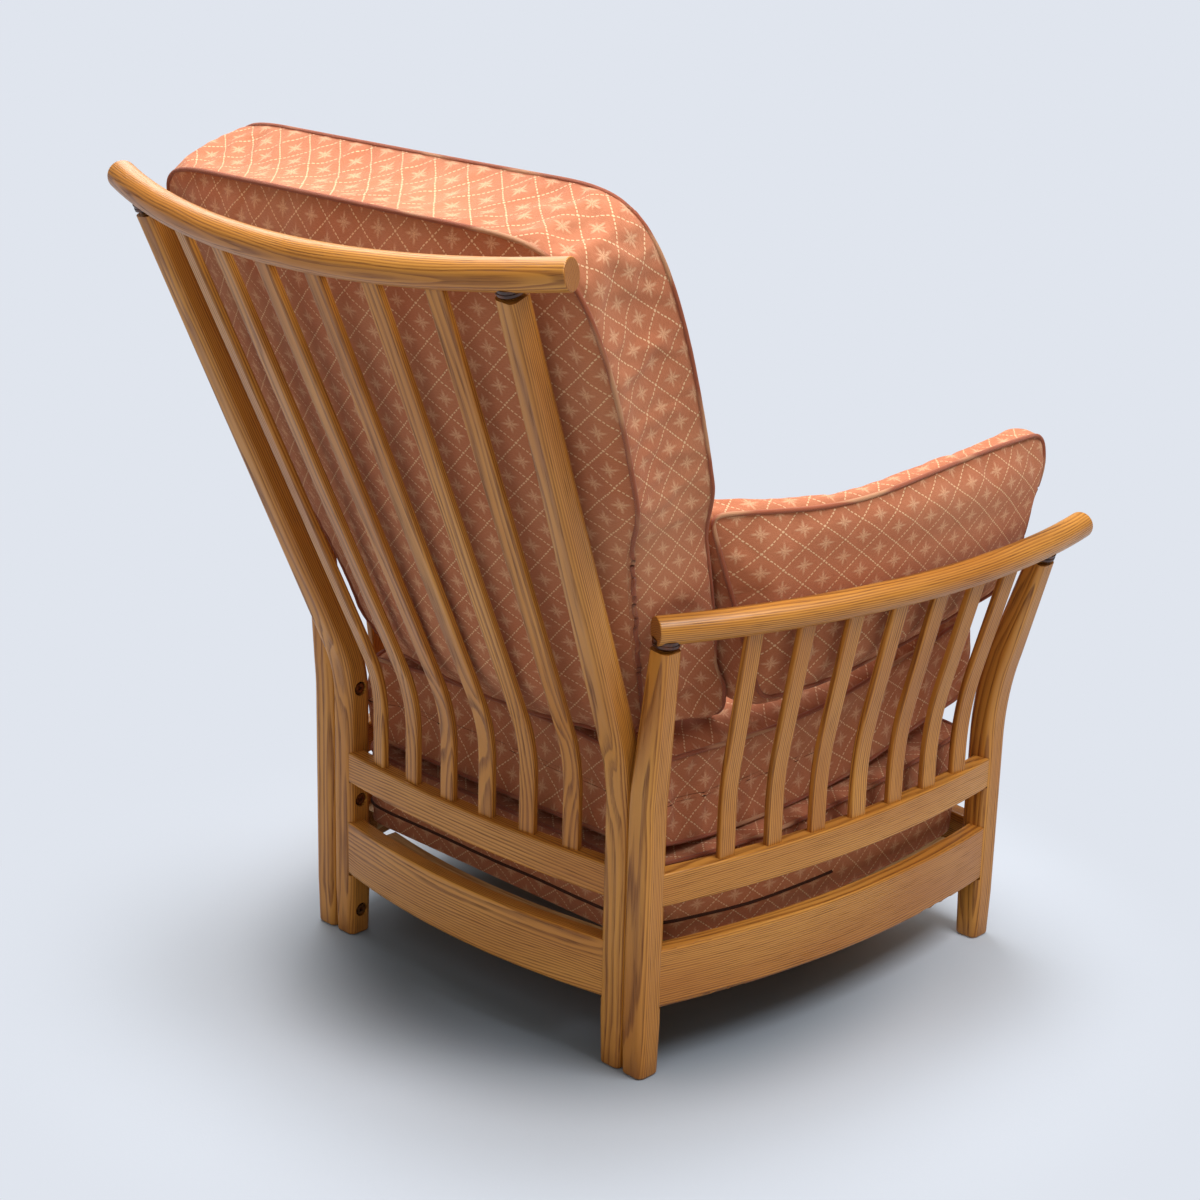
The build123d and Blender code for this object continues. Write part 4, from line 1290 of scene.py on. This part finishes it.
    def dress(self, looks: Looks) -> None:
        """Finish the cushion: folds, cloth, piping and its place on its body."""
        self.looks = looks
        self.pucker()
        seam = self.obj.data.attributes.new(SHADE_LAYER, "FLOAT", "POINT")
        seam.data.foreach_set("value", np.exp(-self.seam_gap / self.shade_reach).astype(np.float32))
        self.obj.data.materials.append(looks.cloth)
        self.obj.vertex_groups.clear()
        smoothing = self.obj.modifiers.new("smoothing", "SUBSURF")
        smoothing.levels = smoothing.render_levels = 1
        smoothing.uv_smooth = "NONE"
        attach(self.obj, self.body)
        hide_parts(*self.nodes)
        self.trim()
        log.info("%s: %d points", self.name, len(self.points))

    def trim(self) -> None:
        """Add the piping; a kind of cushion may add its zips."""
        self.pipe(0, f"{self.name}_piping_low")
        self.pipe(self.rows, f"{self.name}_piping_high")


def mirrored_side(side: list) -> list:
    """Return a line on the sitter's left as the matching one on the right, run the other way."""
    return [(-x, y, z) for x, y, z in reversed(side)]


@dataclass
class SeatBase(BoxedCushion):
    """The sprung seat base: a boxed form that slopes up to the front."""

    bottom: float = 0.1415
    rear_top: float = 0.2362
    front_top: float = 0.2752
    rear_y: float = -0.029
    front_y: float = -0.564
    swell_y: float = 0.13

    def loop(self, rear_z: float, front_z: float) -> np.ndarray:
        """Return one seam of the base, with the heights of its rear and front edges."""
        x = (0.242, 0.282, 0.296, 0.295, 0.283)
        y = (self.rear_y, self.rear_y - self.swell_y, (self.rear_y + self.front_y) / 2,
             self.front_y + self.swell_y, self.front_y)
        left = list(zip(x, y, np.linspace(rear_z, front_z, len(x))))
        right = mirrored_side(left)
        return self.closed([[left[-1], right[0]], right, [right[-1], left[0]], left])

    def loops(self) -> tuple[np.ndarray, np.ndarray]:
        """Return the lower and the upper seam."""
        return self.loop(self.bottom, self.bottom), self.loop(self.rear_top, self.front_top)

    def trim(self) -> None:
        """Pipe the upper seam and sew the zip low in the sides and the rear."""
        self.pipe(self.rows, f"{self.name}_piping")
        self.zip_line(0.38, 0.88, 0.24, f"{self.name}_zip")


@dataclass
class SeatCushion(BoxedCushion):
    """The thick loose seat cushion, which turns up at its ends."""

    def loop(self, side: list, rear_z: float, front_z: float) -> np.ndarray:
        """Return one seam of the cushion.

        Args:
            side: The left edge from the rear to the front.
            rear_z, front_z: The heights of the middles of the rear and front edges.
        """
        right = mirrored_side(side)
        front = [side[-1], (0, side[-1][1], front_z), right[0]]
        return self.closed([front, right, [right[-1], (0, side[0][1], rear_z), side[0]], side])

    def loops(self) -> tuple[np.ndarray, np.ndarray]:
        """Return the lower and the upper seam."""
        low = [(0.240, -0.026, 0.261), (0.250, -0.103, 0.254), (0.261, -0.228, 0.256),
               (0.268, -0.310, 0.263), (0.273, -0.376, 0.276), (0.278, -0.478, 0.306),
               (0.276, -0.582, 0.322)]
        high = [(0.240, -0.026, 0.364), (0.251, -0.128, 0.359), (0.262, -0.228, 0.362),
                (0.269, -0.310, 0.370), (0.274, -0.400, 0.388), (0.279, -0.490, 0.408),
                (0.276, -0.582, 0.424)]
        return self.loop(low, 0.258, 0.322), self.loop(high, 0.371, 0.452)

    def trim(self) -> None:
        """Pipe both seams and sew the zip round the rear of the border."""
        super().trim()
        self.zip_line(0.37, 0.88, 0.46, f"{self.name}_zip")


@dataclass
class BackCushion(BoxedCushion):
    """The tall loose back cushion: narrow between the arms and wide above them."""

    lean: float = radians(22.3)
    knee_height: float = 0.357
    rear_plane: float = 0.044
    depth: float = 0.107
    top_length: float = 0.672
    bottom_length: float = 0.008
    front_drop: float = 0.060
    front_top_drop: float = 0.020
    hang_height: float = 0.470
    hang_x: float = 0.17
    hang_y: float = 0.070
    hang_fade: float = 0.040
    hang_fade_x: float = 0.05

    def point(self, x: float, slope_length: float, out: float) -> Triple:
        """Return a point of the leaning back.

        Args:
            x: How far left of the middle.
            slope_length: How far up the slope from the knee's height.
            out: How far in front of the back posts' centre plane.
        """
        return (x, slope_length * sin(self.lean) - out * cos(self.lean),
                self.knee_height + slope_length * cos(self.lean) + out * sin(self.lean))

    def loop(self, out: float, flared: float, bow: float) -> np.ndarray:
        """Return one seam, an outline at a distance from the posts; it lies a little to the sitter's right.

        Args:
            out: That distance.
            flared: The share of the full flare in front of the rear posts, 0 or 1.
            bow: How far the top and bottom edges bow to the rear.
        """
        lengths = np.array([0.012 - self.front_drop * flared, 0.09, 0.15, 0.20, 0.25, 0.32, 0.40, 0.47, 0.55,
                            0.656])
        halves = np.array([0.236, 0.247, 0.264, 0.280, 0.294, 0.312, 0.322, 0.330, 0.333, 0.318])
        flare = np.array([0.012, 0.018, 0.022, 0.016, 0.010, 0.004, 0.002, 0.001, 0.001, 0.003])
        shift = np.array([0.0, 0.003, 0.004, 0.006, 0.008, 0.011, 0.012, 0.013, 0.012, 0.006])
        left, right = (
            [self.point(side * half - move, length, out)
             for half, move, length in zip(halves + flared * flare, shift, lengths)]
            for side in (1, -1))
        top_length = self.top_length - self.front_top_drop * flared
        top = [left[-1], self.point(0, top_length, out - bow), right[-1]]
        bottom = [right[0], self.point(0, self.bottom_length, out - bow), left[0]]
        return self.closed([bottom, left, top, right[::-1]])

    def freedom(self) -> np.ndarray:
        """Free the head, and the front lower corners, which hang over the sides of the seat."""
        x, y, z = self.points.T
        corner = gradual((self.hang_height - z) / self.hang_fade)
        corner *= gradual((np.abs(x) - self.hang_x) / self.hang_fade_x)
        corner *= gradual((POST_LINE - self.hang_y - y) / self.hang_fade)
        return np.maximum(super().freedom(), corner)

    def loops(self) -> tuple[np.ndarray, np.ndarray]:
        """Return the rear and the front seam."""
        return self.loop(self.rear_plane, 0.0, 0.020), self.loop(self.rear_plane + self.depth, 1.0, -0.004)


@dataclass
class ArmCushion(BoxedCushion):
    """A loose cushion that stands on the seat and leans on its arm."""

    side: Side = Side.LEFT
    thickness: float = 0.083
    inner_drop: tuple[float, float] = (0.011, 0.018)
    outer_inset: Triple = (0.010, 0.0, 0.003)
    inner_front_bow: Triple = (0.0, -0.012, 0.0)
    outer_front_bow: Triple = (0.012, -0.032, 0.0)

    def freedom(self) -> np.ndarray:
        """Free the whole cushion above the arm bow."""
        return self.head()

    def loops(self) -> tuple[np.ndarray, np.ndarray]:
        """Return the seam of the inner face and the seam of the outer face."""
        low = np.array([(0.297, -0.146, 0.424), (0.309, -0.205, 0.426), (0.321, -0.331, 0.440),
                        (0.327, -0.440, 0.457), (0.328, -0.551, 0.474)])
        high = np.array([(0.300, -0.056, 0.660), (0.330, -0.130, 0.656), (0.353, -0.198, 0.654),
                         (0.366, -0.262, 0.658), (0.373, -0.350, 0.668), (0.375, -0.450, 0.676),
                         (0.373, -0.560, 0.678)])
        up = high[np.array([0, 1, 3, 5, 6])] - low
        across = unit(np.stack([up[:, 2], np.zeros(5), up[:, 0]], axis=1)) * -self.thickness
        share = np.linspace(0, 4, len(high))
        high_across = np.stack([np.interp(share, np.arange(5), column) for column in across.T], axis=1)
        low_in, high_in = low + across, high + high_across
        high_in[:, 2] -= np.linspace(*self.inner_drop, len(high))
        high = high - np.array(self.outer_inset)
        inner, outer = (
            self.closed([below, [below[-1], (below[-1] + above[-1]) / 2 + np.array(bow), above[-1]],
                         above[::-1], [above[0], below[0]]]) * np.array([self.side.value, 1, 1])
            for below, above, bow in ((low_in, high_in, self.inner_front_bow),
                                      (low, high, self.outer_front_bow))
        )
        return inner, outer


@dataclass
class Upholstery:
    """The seat base and the four loose cushions."""

    cloth: LatticeCloth = LatticeCloth()
    cord: CordCloth = CordCloth()
    tape: PlainCloth = PlainCloth("zip_tape", srgb(96, 62, 50), srgb(40, 24, 20), 0.0018)
    pull: Grained = metal("zip_pull", srgb(176, 150, 110), srgb(96, 76, 52), 0.3)
    frames: int = 20

    def cushions(self) -> list[BoxedCushion]:
        """Return every padded piece with its sizes."""
        base = SeatBase("seat_base", (72, 70, 12), 3, Vector(), Vector(), 0.004, loose=False)
        seat = SeatCushion("seat_cushion", (76, 80, 15), 4, Vector((0, 0, -0.012)), Vector((0, 0, 0.042)),
                           0.008, crown_power=4.5)
        back = BackCushion("back_cushion", (80, 92, 15), 7, Vector((0, 0.040, -0.016)),
                           Vector((0, -0.016, 0.006)), 0.008, held_height=0.665)
        arms = [
            ArmCushion(f"arm_cushion_{side.name.lower()}", (66, 34, 13), 2,
                       Vector((-0.012 * side.value, 0, 0.002)), Vector((0.036 * side.value, 0, 0.004)),
                       0.014, held_height=0.622, side=side)
            for side in Side
        ]
        return [base, seat, back, *arms]

    def build(self) -> None:
        """Make, blow up and dress every cushion."""
        cushions = self.cushions()
        for cushion in cushions:
            cushion.make()
        soft = [cushion for cushion in cushions if cushion.loose]
        for cushion in soft:
            cushion.add_cloth()
        scene = bpy.context.scene
        for number in range(1, self.frames + 1):
            scene.frame_set(number)
        for cushion in soft:
            cushion.take_cloth()
        scene.frame_set(1)
        for cushion in soft:
            cushion.hold_back()
        looks = Looks(*(part.material() for part in (self.cloth, self.cord, self.tape, self.pull)))
        for cushion in cushions:
            cushion.dress(looks)


def main() -> None:
    """Build the studio, dress the frame and upholster the chair."""
    logging.basicConfig(level=logging.INFO, format="%(name)s: %(message)s")
    Studio().build()
    log.info("studio: camera, floor and lights")
    Timber().build()
    Fixings().build()
    Upholstery().build()


if __name__ == "__main__":
    main()
